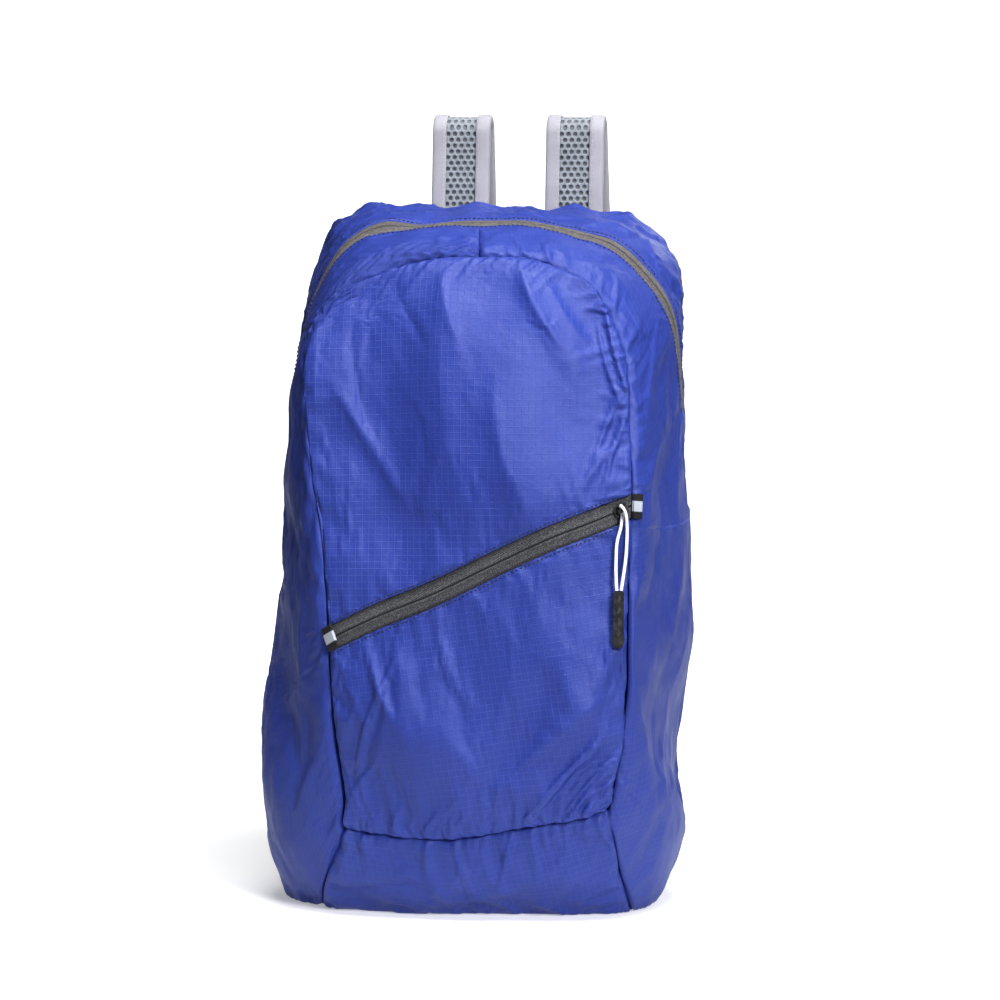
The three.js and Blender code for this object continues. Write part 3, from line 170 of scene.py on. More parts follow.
LEFT_ROWS = side_rows(POCKET_ZIP_HEIGHTS[0], lambda height: section_at_height(height, 1.7, 6))
RIGHT_ROWS = side_rows(
    POCKET_ZIP_HEIGHTS[1], lambda height: BOTTOM_RIGHT - section_at_height(height, 22.3, 18))
ROWS = len(LEFT_ROWS) - 1
COLUMNS = (TOP_RIGHT - TOP_LEFT) * STEPS
LOOP = 2 * (ROWS + COLUMNS)
TOP_SEAM = ROWS + (TOP_SEAM_SECTION - TOP_LEFT) * STEPS
MAIN_START = 12
MAIN_END = 2 * ROWS + COLUMNS - MAIN_START
LOOP_SECTIONS = np.concatenate([
    LEFT_ROWS,
    TOP_LEFT + np.arange(1, COLUMNS + 1) / STEPS,
    (BOTTOM_RIGHT - RIGHT_ROWS)[::-1][1:],
    BOTTOM_RIGHT + np.arange(1, COLUMNS + 1) / STEPS,
])


def between(values, place):
    return np.interp(place, np.arange(len(values)), values)


def loop_section(place):
    return between(LOOP_SECTIONS, np.mod(place, LOOP))


def inward(point):
    toward = np.clip(point, CORE_LOW, CORE_HIGH) - point
    return toward / np.linalg.norm(toward, axis=-1, keepdims=True)


def along_line(point, start, end):
    """Share of the way along a line, clamped, and distance from it."""
    run = end - start
    share = np.clip((point - start) @ run / (run @ run), 0, 1)
    return share, np.linalg.norm(point - start - share[..., None] * run, axis=-1)


def finish_surface(point):
    lift = np.zeros(point.shape[:-1])
    for start, end, reach, height in FOLDS:
        _, distance = along_line(point, np.array(start) * BAG_SIZE, np.array(end) * BAG_SIZE)
        lift += height * BAG_DEPTH * np.exp(-(distance / (reach * BAG_WIDTH)) ** 2)
    point = point - inward(point) * lift[..., None]
    point[..., 2] = np.maximum(point[..., 2], 0)
    return point


def gusset_point(place, across):
    section = loop_section(place)
    across = np.asarray(across)[..., None]
    return finish_surface(
        seam_point("front", section) * (1 - across) * (1 - 2 * across)
        + seam_point("middle", section) * 4 * across * (1 - across)
        + seam_point("back", section) * across * (2 * across - 1))


def panel_point(seam, crown, arch, row, column):
    """Coons net of the front or back panel with its middle pushed out."""
    share = np.asarray(column / COLUMNS)[..., None]
    left_section, right_section = between(LEFT_ROWS, row), between(RIGHT_ROWS, row)
    rise = (left_section[..., None] * (1 - share) + right_section[..., None] * share) / TOP_LEFT
    corner = {key: seam_point(seam, value) for key, value in (
        ("low_left", 0), ("high_left", TOP_LEFT), ("low_right", BOTTOM_RIGHT), ("high_right", TOP_RIGHT))}
    point = (seam_point(seam, left_section) * (1 - share)
             + seam_point(seam, BOTTOM_RIGHT - right_section) * share
             + seam_point(seam, SECTION_COUNT - column / STEPS) * (1 - rise)
             + seam_point(seam, TOP_LEFT + column / STEPS) * rise
             - corner["low_left"] * (1 - share) * (1 - rise) - corner["high_left"] * (1 - share) * rise
             - corner["low_right"] * share * (1 - rise) - corner["high_right"] * share * rise)
    bulge = np.sin(np.pi * np.clip(share, 0, 1)) ** 0.8 * np.sin(np.pi * np.clip(rise, 0, 1)) ** 0.7
    return finish_surface(point + bulge * np.array([0, crown, arch]))


def front_point(row, column):
    return panel_point("front", -FRONT_CROWN, FRONT_ARCH, row, column)


def back_point(row, column):
    return panel_point("back", BACK_CROWN, 0, row, column)


def gusset_arc(place):
    section = loop_section(place)
    middle = seam_point("middle", section)
    return (np.linalg.norm(seam_point("front", section) - middle, axis=-1)
            + np.linalg.norm(seam_point("back", section) - middle, axis=-1))


def smoothstep(value, low, high):
    share = np.clip((value - low) / (high - low), 0, 1)
    return share * share * (3 - 2 * share)


def zip_centre(place):
    section = loop_section(place)
    on_side = np.maximum(smoothstep(TOP_LEFT - section, 0.5, 4.5), smoothstep(section - TOP_RIGHT, 1.5, 5))
    return 0.5 + MAIN_ZIP_DRIFT * np.where(section < BOTTOM_RIGHT, on_side, 0)


def gusset_across(place, line):
    """Position across the gusset of net lines, which may lie between two of the nine."""
    arc, centre = gusset_arc(place), zip_centre(place)
    half = ZIP_WIDTH / 2 / arc
    front, back = centre - half - TAPE_UNDERLAP / arc, centre + half + TAPE_UNDERLAP / arc
    lines = np.stack([0 * front, front * 0.36, front * 0.7, front, centre - half, centre + half, back,
                      (back + 1) / 2, 0 * front + 1], axis=-1)
    whole = np.clip(np.floor(line).astype(int), 0, 7)
    share = line - whole
    low = np.take_along_axis(lines, whole[..., None], -1)[..., 0]
    high = np.take_along_axis(lines, whole[..., None] + 1, -1)[..., 0]
    return low + (high - low) * share


def gusset_net(place, line):
    return gusset_point(place, gusset_across(place, line))


# Meshes


def to_metres(points):
    return (np.asarray(points) + SHIFT) * MM


def add_object(name, data):
    item = bpy.data.objects.new(name, data)
    bpy.context.scene.collection.objects.link(item)
    return item


@contextmanager
def opened(piece):
    """A piece's mesh for editing, written back at the end."""
    shape = bmesh.new()
    shape.from_mesh(piece.data)
    yield shape
    shape.to_mesh(piece.data)
    shape.free()


def new_object(name, points, faces, uv=None):
    """A mesh object from millimetre points. uv holds a pair of millimetres for each point."""
    mesh = bpy.data.meshes.new(name)
    mesh.from_pydata(to_metres(points).tolist(), [], faces)
    if uv is not None:
        layer = mesh.uv_layers.new(name="UVMap")
        corner = np.empty(len(mesh.loops), np.int32)
        mesh.loops.foreach_get("vertex_index", corner)
        layer.data.foreach_set("uv", np.asarray(uv, np.float32)[corner].ravel())
    mesh.polygons.foreach_set("use_smooth", [True] * len(mesh.polygons))
    mesh.update()
    piece = add_object(name, mesh)
    return piece


def grid_faces(rows, columns, keep=None):
    row, column = np.mgrid[0:rows - 1, 0:columns - 1]
    first = row * columns + column
    quads = np.stack([first, first + 1, first + columns + 1, first + columns], -1)
    return quads[keep].tolist() if keep is not None else quads.reshape(-1, 4).tolist()


def normals_of(points):
    """Outward unit normals of a grid of points."""
    along, across = np.gradient(points, axis=0), np.gradient(points, axis=1)
    normal = np.cross(along, across)
    normal /= np.linalg.norm(normal, axis=-1, keepdims=True) + 1e-9
    outward = (normal * inward(points)).sum(-1, keepdims=True) < 0
    return np.where(outward, normal, -normal)


def unit(vector):
    return vector / (np.linalg.norm(vector, axis=-1, keepdims=True) + 1e-12)


def lengths(points, axis=0):
    """Running length along an axis of a line or net of points, from zero."""
    steps = np.cumsum(np.linalg.norm(np.diff(points, axis=axis), axis=-1), axis)
    return np.insert(steps, 0, 0, axis)


def at_lengths(wanted, arc, values):
    """Vectors given at running lengths, read at other lengths."""
    return np.stack([np.interp(wanted, arc, values[:, axis]) for axis in range(3)], -1)


def resample(points, spacing):
    """Points at even distances along a Catmull-Rom curve."""
    points = np.asarray(points, float)
    padded = np.vstack([2 * points[0] - points[1], points, 2 * points[-1] - points[-2]])
    fine = []
    for index in range(len(points) - 1):
        before, start, end, after = padded[index:index + 4]
        share = np.linspace(0, 1, 12, endpoint=False)[:, None]
        fine.append(catmull_rom(before, start, end, after, share))
    fine = np.vstack(fine + [points[-1:]])
    arc = lengths(fine)
    count = max(int(round(arc[-1] / spacing)), 2)
    wanted = np.linspace(0, arc[-1], count + 1)
    return at_lengths(wanted, arc, fine), wanted


def frames_along(points, side_hint):
    """Side and up directions along a path, its side close to a hint."""
    tangent = unit(np.gradient(points, axis=0))
    side = unit(side_hint - tangent * (tangent @ side_hint)[:, None])
    return side, np.cross(tangent, side)


def sweep(name, points, outline, side_hint, spacing=1.5, ripple=0, ribbon=False):
    """A closed outline of (across, raised) carried along a smooth path, with UVs in millimetres. On a
    ribbon both faces have the same UVs."""
    path, arc = resample(points, spacing)
    side, up = frames_along(path, np.asarray(side_hint, float))
    outline = np.asarray(outline, float)
    ring = np.vstack([outline, outline[:1]])
    around = ring[:, 0] if ribbon else lengths(ring)
    count = len(ring)
    raised = ring[None, :, 1] + ripple * np.sin(arc * 0.9)[:, None] * np.sin(arc * 0.23)[:, None]
    body = path[:, None] + side[:, None] * ring[None, :, :1] + up[:, None] * raised[..., None]
    uv = np.stack(np.broadcast_arrays(arc[:, None], around[None]), -1)
    faces = grid_faces(len(path), count)
    points_out, uv_out = body.reshape(-1, 3), uv.reshape(-1, 2)
    faces += [list(range(count - 1))[::-1], [(len(path) - 1) * count + k for k in range(count - 1)]]
    piece = new_object(name, points_out, faces, uv_out)
    weld(piece)
    return piece


def weld(piece, distance=1e-6):
    """Joins points that lie together and turns the faces outward."""
    with opened(piece) as shape:
        bmesh.ops.remove_doubles(shape, verts=shape.verts, dist=distance)
        bmesh.ops.recalc_face_normals(shape, faces=shape.faces)


def rounded_rectangle(width, thick, steps=3):
    """Outline points of a band with round edges."""
    radius = thick / 2
    points = []
    for corner in range(4):
        sign_x, sign_y = ((1, -1), (1, 1), (-1, 1), (-1, -1))[corner]
        for step in range(steps + 1):
            angle = math.radians(90 * (corner - 1 + step / steps))
            points.append((sign_x * (width / 2 - radius) + radius * math.cos(angle),
                           sign_y * (thick / 2 - radius) + radius * math.sin(angle)))
    for edge in (1, 0):
        low = points[2 * edge * (steps + 1) + steps]
        high = points[(2 * edge * (steps + 1) + steps + 1) % len(points)]
        spot = 2 * edge * (steps + 1) + steps + 1
        fill = [tuple(np.array(low) + (np.array(high) - low) * share) for share in np.linspace(0, 1, 8)[1:-1]]
        points[spot:spot] = fill
    return points


# Folds, gathers and puckers of the cloth

NOISE_CELLS = 64


def lattice_noise(x, y, seed):
    """Smooth noise from about -0.7 to 0.7 with one bump or hollow per unit."""
    angle = np.random.default_rng(seed).uniform(0, 2 * np.pi, (NOISE_CELLS, NOISE_CELLS))
    cell_x, cell_y = np.floor(x).astype(int), np.floor(y).astype(int)
    in_x, in_y = x - cell_x, y - cell_y

    def corner(step_x, step_y):
        turn = angle[(cell_x + step_x) % NOISE_CELLS, (cell_y + step_y) % NOISE_CELLS]
        return np.cos(turn) * (in_x - step_x) + np.sin(turn) * (in_y - step_y)

    ease_x, ease_y = in_x ** 3 * (in_x * (6 * in_x - 15) + 10), in_y ** 3 * (in_y * (6 * in_y - 15) + 10)
    low = corner(0, 0) * (1 - ease_x) + corner(1, 0) * ease_x
    high = corner(0, 1) * (1 - ease_x) + corner(1, 1) * ease_x
    return low * (1 - ease_y) + high * ease_y


def crumpled(x, y, seed):
    """Sharp crossing ridges with soft hollows between them, as in crushed thin cloth."""
    x = x + 0.8 * lattice_noise(x * 0.6, y * 0.6, seed + 1)
    y = y + 0.8 * lattice_noise(x * 0.6, y * 0.6, seed + 2)
    first = (1 - np.minimum(np.abs(lattice_noise(x, y, seed)) * 2.2, 1)) ** 1.6
    second = (1 - np.minimum(np.abs(lattice_noise(x * 2.1, y * 2.1, seed + 3)) * 2.2, 1)) ** 1.6
    return first - 0.35 + 0.4 * (second - 0.35) * (0.4 + first)


class Panel:
    """A cloth panel's smooth net with distances from its edges and runs along them, in millimetres."""

    def __init__(self, points):
        self.points = points
        self.across, self.along = lengths(points, 1), lengths(points, 0)
        self.normal = normals_of(points)
        self.lift = np.zeros(points.shape[:2])

    def edge(self, name):
        """Distance from an edge and run along it."""
        if name == "left":
            return self.across, self.along
        if name == "right":
            return self.across[:, -1:] - self.across, self.along
        if name == "low":
            return self.along, self.across
        return self.along[-1:] - self.along, self.across

    def gather(self, name, seed, pitch=7, reach=16, height=0.9, dip=1.9, slant=0.0, line=None, band=None):
        """Ridges that run off a seam and fade, with the seam itself drawn in."""
        distance, run = self.edge(name) if line is None else line
        random = np.random.default_rng(seed)
        count = int(np.ptp(run) / pitch) + 2
        centres = (np.arange(count) + random.uniform(-0.4, 0.4, count)) * pitch + run.min()
        widths = pitch * random.uniform(0.2, 0.45, count)
        reaches = reach * random.uniform(0.3, 1.6, count)
        heights = height * random.uniform(0.25, 1.3, count)
        leans = slant + random.normal(0, 0.22, count)
        ridges = np.zeros_like(self.lift)
        for centre, width, length, rise, lean in zip(centres, widths, reaches, heights, leans):
            off = (run - centre - lean * distance) / (width * (1 + 0.02 * distance))
            ridges += rise * np.exp(-off ** 2 - (distance / length) ** 2)
        shape = ridges * (1 - np.exp(-distance / 2.0)) - dip * np.exp(-distance / 1.3)
        self.lift += shape if band is None else shape * band

    def crumple(self, seed, size, height, stretch=1.0, turn=0.0, mask=1.0):
        """Crushed creases of a size in millimetres, longer along a direction in degrees from upright."""
        angle = math.radians(turn)
        x = (self.across * math.cos(angle) + self.along * math.sin(angle)) / size
        y = (self.along * math.cos(angle) - self.across * math.sin(angle)) / (size * stretch)
        near = np.minimum.reduce([self.edge(name)[0] for name in ("left", "right", "low", "high")])
        self.lift += height * crumpled(x, y, seed) * mask * (1 - np.exp(-near / 3.0))

    def crease(self, rows):
        """Listed ridges, each x, z to x, z seen from the front, with a width and a height."""
        flat = self.points[..., [0, 2]]
        for x0, z0, x1, z1, width, height in rows:
            start, end = np.array([x0, z0], float), np.array([x1, z1], float)
            run = end - start
            length = np.linalg.norm(run)
            share = (flat - start) @ run / length ** 2
            bow = 0.04 * length * np.sin(np.pi * np.clip(share, 0, 1))
            off = (flat - start) @ np.array([-run[1], run[0]]) / length + bow
            fade = smoothstep(share, -0.12, 0.3) * (1 - smoothstep(share, 0.6, 1.15))
            core = np.sqrt(off ** 2 + 0.3) / width
            self.lift += height * fade * np.exp(-core ** 1.4)

    def wander(self, seed, size, height):
        """Soft waves of mixed directions."""
        random = np.random.default_rng(seed)
        for _ in range(9):
            angle, phase = random.uniform(0, np.pi), random.uniform(0, 2 * np.pi)
            wave = 2 * np.pi / (size * random.uniform(0.7, 1.6))
            self.lift += height / 3 * np.sin(
                wave * (self.across * np.cos(angle) + self.along * np.sin(angle)) + phase)

    def dressed(self):
        points = self.points + self.normal * self.lift[..., None]
        points[..., 2] = np.maximum(points[..., 2], 0.0)
        return points


def simulate(piece, pinned, grow, frames):
    """Lets the cloth grow and buckle between its pinned points, and keeps the result."""
    group = piece.vertex_groups.new(name="pinned")
    group.add([int(index) for index in pinned], 1.0, "REPLACE")
    cloth = piece.modifiers.new("Cloth", "CLOTH")
    settings = cloth.settings
    settings.quality = 5
    settings.mass = 0.1
    settings.tension_stiffness = settings.compression_stiffness = 12
    settings.shear_stiffness = 4
    settings.bending_stiffness = 0.02
    settings.tension_damping = settings.compression_damping = settings.shear_damping = 4
    settings.bending_damping = 0.4
    settings.air_damping = 2
    settings.shrink_min = settings.shrink_max = -grow
    settings.vertex_group_mass = "pinned"
    settings.pin_stiffness = 50
    settings.effector_weights.gravity = 0
    cloth.collision_settings.use_collision = False
    cloth.point_cache.frame_start, cloth.point_cache.frame_end = 1, frames
    scene = bpy.context.scene
    for number in range(1, frames + 1):
        scene.frame_set(number)
    graph = bpy.context.evaluated_depsgraph_get()
    result = piece.evaluated_get(graph).to_mesh()
    moved = np.empty(len(result.vertices) * 3, np.float32)
    result.vertices.foreach_get("co", moved)
    moved[2::3] = np.maximum(moved[2::3], 0)
    piece.evaluated_get(graph).to_mesh_clear()
    piece.modifiers.remove(cloth)
    piece.data.vertices.foreach_set("co", moved)
    piece.data.update()
    scene.frame_set(1)


HEM_DEPTHS = (0.5, 1.2, 2.2)


def add_hem(piece):
    """Turns the open edges of a panel in under the bag."""
    with opened(piece) as shape:
        for depth in HEM_DEPTHS:
            edges = [edge for edge in shape.edges if edge.is_boundary]
            result = bmesh.ops.extrude_edge_only(shape, edges=edges)
            for vertex in (item for item in result["geom"] if isinstance(item, bmesh.types.BMVert)):
                place = np.array(vertex.co) / MM - SHIFT
                step = inward(place[None])[0] * depth
                vertex.co += Vector(step * MM)
        bmesh.ops.recalc_face_normals(shape, faces=shape.faces)


def smooth(piece, levels=1):
    modifier = piece.modifiers.new("Subdivision", "SUBSURF")
    modifier.levels = modifier.render_levels = levels
    modifier.boundary_smooth = "PRESERVE_CORNERS"


SIM_FRAMES = 24
CLOTHS = {}


def refine(values):
    """Twice as many rows and columns, by the four-point rule."""
    for axis in (0, 1):
        lines = np.moveaxis(values, axis, 0)
        wide = np.concatenate([2 * lines[:1] - lines[1:2], lines, 2 * lines[-1:] - lines[-2:-1]])
        joined = np.empty((2 * len(lines) - 1, *lines.shape[1:]))
        joined[0::2] = lines
        joined[1::2] = (9 * (wide[1:-2] + wide[2:-1]) - wide[:-3] - wide[3:]) / 16
        values = np.moveaxis(joined, 0, axis)
    return values


def settled(points, keep, grow):
    """A net's points after its cloth has buckled between the pinned edges."""
    flat = points.reshape(-1, 3).copy()
    faces = np.array(grid_faces(*points.shape[:2], keep))
    used, corners = np.unique(faces, return_inverse=True)
    piece = new_object("cloth_trial", flat[used], corners.reshape(faces.shape).tolist())
    simulate(piece, boundary_points(piece), grow, SIM_FRAMES)
    moved = np.empty(len(used) * 3)
    piece.data.vertices.foreach_get("co", moved)
    flat[used] = moved.reshape(-1, 3) / MM - SHIFT
    mesh = piece.data
    bpy.data.objects.remove(piece)
    bpy.data.meshes.remove(mesh)
    return flat.reshape(points.shape)


def panel_piece(name, panel, node, turn=None, keep=None, grow=0.012, levels=1, trim=None):
    """A cloth panel as an object that stands for its CAD node. The weave is turned by degrees on a flat
    panel, or follows the net. trim adds the small creases at the end."""
    points = panel.dressed()
    if grow:
        points = settled(points, keep, grow)
    smooth_net = panel.points
    for _ in range(levels):
        points, smooth_net = refine(points), refine(smooth_net)
        keep = None if keep is None else keep.repeat(2, 0).repeat(2, 1)
    net_lines = Panel(smooth_net)
    if trim:
        late = Panel(points)
        trim(late)
        points = late.dressed()
    points[..., 2] = np.maximum(points[..., 2], 0.0)
    if turn is not None:
        angle = math.radians(turn)
        u = smooth_net[..., 0] * math.cos(angle) + smooth_net[..., 2] * math.sin(angle)
        v = smooth_net[..., 2] * math.cos(angle) - smooth_net[..., 0] * math.sin(angle)
        uv = np.stack([u, v], -1)
    else:
        uv = np.stack([net_lines.across, net_lines.along], -1)
    piece = new_object(name, points.reshape(-1, 3), grid_faces(*points.shape[:2], keep), uv.reshape(-1, 2))
    drop_loose(piece)
    add_hem(piece)
    CLOTHS[name] = finish_piece(piece, "ripstop", node)


def laid_on(names, points, out):
    """Points moved onto the nearest of some finished cloths, and the outward normals there."""
    places, normals = [], []
    for point, direction in zip(points, out):
        target = Vector(to_metres(point))
        hits = [CLOTHS[name].closest_point_on_mesh(target) for name in names]
        _, place, normal, _ = min(hits, key=lambda hit: (hit[1] - target).length)
        normal = np.array(normal)
        places.append(np.array(place) / MM - SHIFT)
        normals.append(normal if normal @ direction > 0 else -normal)
    return np.array(places), np.array(normals)


def drop_loose(piece):
    with opened(piece) as shape:
        loose = [vertex for vertex in shape.verts if not vertex.link_faces]
        bmesh.ops.delete(shape, geom=loose, context="VERTS")


def boundary_points(piece):
    shape = bmesh.new()
    shape.from_mesh(piece.data)
    found = [vertex.index for vertex in shape.verts if vertex.is_boundary]
    shape.free()
    return found


# Materials


class Look:
    """A material and its nodes."""

    def __init__(self, name, colour, roughness, **sockets):
        self.material = bpy.data.materials.new(name)
        self.material.use_nodes = True
        self.tree = self.material.node_tree
        self.shader = self.tree.nodes["Principled BSDF"]
        self.shader.inputs["Base Color"].default_value = (*colour, 1)
        self.shader.inputs["Roughness"].default_value = roughness
        for key, value in sockets.items():
            self.shader.inputs[key.replace("_", " ")].default_value = value

    def node(self, kind, inputs=None, **settings):
        node = self.tree.nodes.new("ShaderNode" + kind)
        for key, value in settings.items():
            setattr(node, key, value)
        for key, value in (inputs or {}).items():
            self.feed(node.inputs[key], value)
        return node

    def feed(self, socket, value):
        if isinstance(value, bpy.types.NodeSocket):
            self.tree.links.new(value, socket)
        else:
            socket.default_value = value

    def math(self, operation, *values):
        return self.node("Math", dict(enumerate(values)), operation=operation).outputs[0]

    def times(self, first, second):
        return self.math("MULTIPLY", first, second)

    def plus(self, first, second):
        return self.math("ADD", first, second)

    def wave(self, value, rate):
        return self.math("SINE", self.times(value, rate))

    def uv(self):
        split = self.node("SeparateXYZ", {0: self.node("UVMap").outputs[0]})
        return split.outputs["X"], split.outputs["Y"]

    def object_point(self):
        return self.node("TexCoord").outputs["Object"]

    def ramp(self, value, low, high, start=0.0, end=1.0):
        return self.node("MapRange", {0: value, 1: low, 2: high, 3: start, 4: end},
                         interpolation_type="SMOOTHSTEP").outputs[0]

    def noise(self, scale, detail=2.0, vector=None):
        return self.node("TexNoise", {"Vector": vector or self.object_point(), "Scale": scale,
                                      "Detail": detail}).outputs[0]

    def lines(self, value, period, width):
        """1 on lines that repeat at a period, 0 between them."""
        triangle = self.math("PINGPONG", value, period / 2)
        return self.ramp(triangle, width * 0.4, width, 1.0, 0.0)

    def mix(self, factor, first, second):
        first, second = ((*end, 1) if isinstance(end, tuple) else end for end in (first, second))
        return self.node("Mix", {0: factor, 6: first, 7: second}, data_type="RGBA").outputs[2]

    def colour(self, value):
        self.feed(self.shader.inputs["Base Color"], value)

    def rough(self, value):
        self.feed(self.shader.inputs["Roughness"], value)

    def bump(self, height, distance, strength=1.0):
        node = self.node("Bump", {"Height": height, "Distance": distance * MM, "Strength": strength})
        self.feed(self.shader.inputs["Normal"], node.outputs[0])


def rgb(red, green, blue):
    """A linear colour from the 0 to 255 values of a screen."""
    values = [value / 255 for value in (red, green, blue)]
    return tuple(value / 12.92 if value < 0.04 else ((value + 0.055) / 1.055) ** 2.4 for value in values)


RIPSTOP_PITCH = 4.0


def ripstop_look():
    look = Look("ripstop_blue", rgb(47, 63, 137), 0.42, Specular_IOR_Level=0.32)
    u, v = look.uv()
    grid = look.math("MAXIMUM", look.lines(u, RIPSTOP_PITCH, 0.3), look.lines(v, RIPSTOP_PITCH, 0.3))
    weave = look.times(look.wave(u, 12.0), look.wave(v, 12.0))
    base = look.mix(look.noise(9.0, 3.0), rgb(43, 59, 131), rgb(52, 69, 145))
    # Painted sheen: the grid is the cloth's real pattern, and its lighter colour, stronger or weaker with
    # noise, stands in for the light the raised grid threads catch.
    painted_grid_sheen = look.times(grid, look.ramp(look.noise(9.0, 2.0), 0.36, 0.64, 0.02, 0.17))
    look.colour(look.mix(painted_grid_sheen, base, rgb(92, 110, 190)))
    look.rough(look.ramp(look.noise(60.0, 3.0), 0.3, 0.7, 0.38, 0.5))
    crinkle = look.noise(130.0, 4.0)
    fine = look.plus(look.times(grid, 0.2), look.times(weave, 0.05))
    look.bump(look.plus(fine, look.times(crinkle, 1.1)), 0.6, 0.8)
    return look.material


def tape_look(name, dark, light):
    """Twill tape with chevrons that meet on its middle line."""
    look = Look(name, dark, 0.75, Sheen_Weight=0.1)
    u, v = look.uv()
    slope = look.plus(u, look.math("ABSOLUTE", look.times(v, 1.2)))
    twill = look.lines(slope, 1.3, 0.5)
    rib = look.lines(v, 0.8, 0.28)
    height = look.plus(twill, look.times(rib, 0.5))
    speckle = look.ramp(look.noise(1400.0, 1.0), 0.44, 0.62)
    # Painted light: the raised twill lines are coloured lighter than the tape between them; the speckle is
    # the tape's random tone.
    painted_thread_light_and_tone = look.math("MAXIMUM", look.times(twill, 0.6), speckle)
    groove = look.ramp(look.math("ABSOLUTE", v), 0.35, 0.9)
    look.colour(look.mix(look.times(painted_thread_light_and_tone, groove), dark, light))
    look.bump(height, 0.3, 0.8)
    return look.material


def woven_look(name, dark, light, pitch, roughness=0.8, depth=0.3):
    """Plain weave of threads at a pitch, in millimetres, with painted shade: darker between the threads than
    on their crowns.
    """
    look = Look(name, dark, roughness, Sheen_Weight=0.15)
    u, v = look.uv()
    wave = 2 * math.pi / pitch
    threads = look.times(look.wave(u, wave), look.wave(v, wave))
    height = look.ramp(threads, -1.0, 1.0)
    # Painted shade: threads lighter on their raised crowns and darker in the hollows between them, scaled by
    # random tone from noise.
    painted_thread_light_and_tone = look.times(height, look.ramp(look.noise(50.0), 0.25, 0.75, 0.6, 1.0))
    look.colour(look.mix(painted_thread_light_and_tone, dark, light))
    look.bump(height, depth, 0.8)
    return look.material


def ribbed_look(name, dark, light, pitch, roughness=0.8, depth=0.4, across=True):
    """Ribs across or along a band, with fine threads, and painted shade: darker in the grooves than on the
    ribs.
    """
    look = Look(name, dark, roughness, Sheen_Weight=0.15)
    u, v = look.uv()
    rib = look.ramp(look.wave(u if across else v, 2 * math.pi / pitch), -1, 1)
    thread = look.ramp(look.wave(v if across else u, 9.0), -1, 1)
    height = look.plus(rib, look.times(thread, 0.25))
    # Painted shade: the colour follows the rib height, darker in the grooves and lighter on the ribs.
    look.colour(look.mix(look.times(height, 0.8), dark, light))
    look.bump(height, depth, 0.8)
    return look.material


def hard_look(name, colour, roughness, grain):
    """Moulded or lacquered black with a faint grain and rubbed patches."""
    look = Look(name, colour, roughness, Specular_IOR_Level=0.5)
    look.rough(look.ramp(look.noise(220.0, 3.0), 0.3, 0.7, roughness - 0.08, roughness + 0.1))
    worn = tuple(value * 1.8 for value in colour)
    look.colour(look.mix(look.ramp(look.noise(300.0, 2.0), 0.45, 0.75), colour, worn))
    look.bump(look.noise(900.0, 2.0), grain, 0.4)
    return look.material


TAB_STRIPE = 6.4


def tab_look():
    """Black ribbed ribbon with a silver stripe along it."""
    look = Look("tab_ribbon", rgb(16, 16, 18), 0.6)
    u, v = look.uv()
    band = look.math("ABSOLUTE", v)
    stripe = look.ramp(band, TAB_STRIPE / 2 - 0.15, TAB_STRIPE / 2 + 0.15, 1.0, 0.0)
    rib = look.ramp(look.wave(u, 7.0), -1, 1)
    sparkle = look.ramp(look.noise(1500.0, 1.0), 0.3, 0.7, 0.8, 1.0)
    silver = look.mix(sparkle, rgb(118, 123, 132), rgb(170, 175, 184))
    look.colour(look.mix(stripe, rgb(16, 16, 18), silver))
    look.rough(look.ramp(band, TAB_STRIPE / 2 - 0.15, TAB_STRIPE / 2 + 0.15, 0.35, 0.7))
    look.bump(look.times(rib, look.math("SUBTRACT", 1.0, stripe)), 0.25, 0.7)
    return look.material


LOOKS = {
    "ripstop": ripstop_look(),
    "pocket_tape": tape_look("pocket_zip_tape", rgb(26, 26, 30), rgb(96, 96, 100)),
    "top_tape": tape_look("main_zip_tape", rgb(36, 34, 36), rgb(116, 111, 110)),
    "coil": ribbed_look("zip_coil", rgb(20, 20, 24), rgb(44, 44, 50), 1.1, 0.5),
    "thread_blue": woven_look("blue_thread", rgb(10, 14, 58), rgb(22, 28, 92), 0.5, 0.6, 0.1),
    "thread_grey": woven_look("grey_thread", rgb(150, 150, 158), rgb(205, 205, 212), 0.5, 0.7, 0.1),
    "mesh": woven_look("spacer_mesh", rgb(108, 113, 120), rgb(164, 169, 176), 0.45, 0.8, 0.15),
    "mesh_floor": woven_look("spacer_floor", rgb(84, 87, 92), rgb(128, 132, 138), 0.9, 0.9, 0.2),
    "backing": ribbed_look("strap_backing_cloth", rgb(48, 48, 54), rgb(92, 92, 98), 1.5),
    "binding": woven_look("strap_binding_tape", rgb(140, 139, 147), rgb(178, 177, 185), 0.55, 0.75, 0.2),
    "webbing": ribbed_look("webbing_weave", rgb(44, 44, 50), rgb(86, 86, 92), 1.4),
    "cord": ribbed_look("cord_braid", rgb(206, 208, 222), rgb(246, 246, 252), 1.0, 0.7, 0.15),
    "tab": tab_look(),
    "slider": hard_look("slider_lacquer", rgb(22, 22, 24), 0.3, 0.02),
    "grip": hard_look("grip_rubber", rgb(44, 43, 46), 0.3, 0.03),
    "buckle": hard_look("buckle_plastic", rgb(26, 26, 28), 0.45, 0.04),
}


def finish_piece(piece, look, *nodes):
    piece.data.materials.append(LOOKS[look])
    if nodes:
        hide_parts(*nodes)
    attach(piece, BODY)
    return piece


# Cloth panels

FRONT_FINE = 5
BACK_FINE = 4
SIDE_FINE = 5


SEAM_LINES = (0.09, 0.16, 0.27)
SEAM_GAP = 0.045


def steps_between(start, stop, per_unit):
    return np.linspace(start, stop, int(round((stop - start) * per_unit)) + 1)


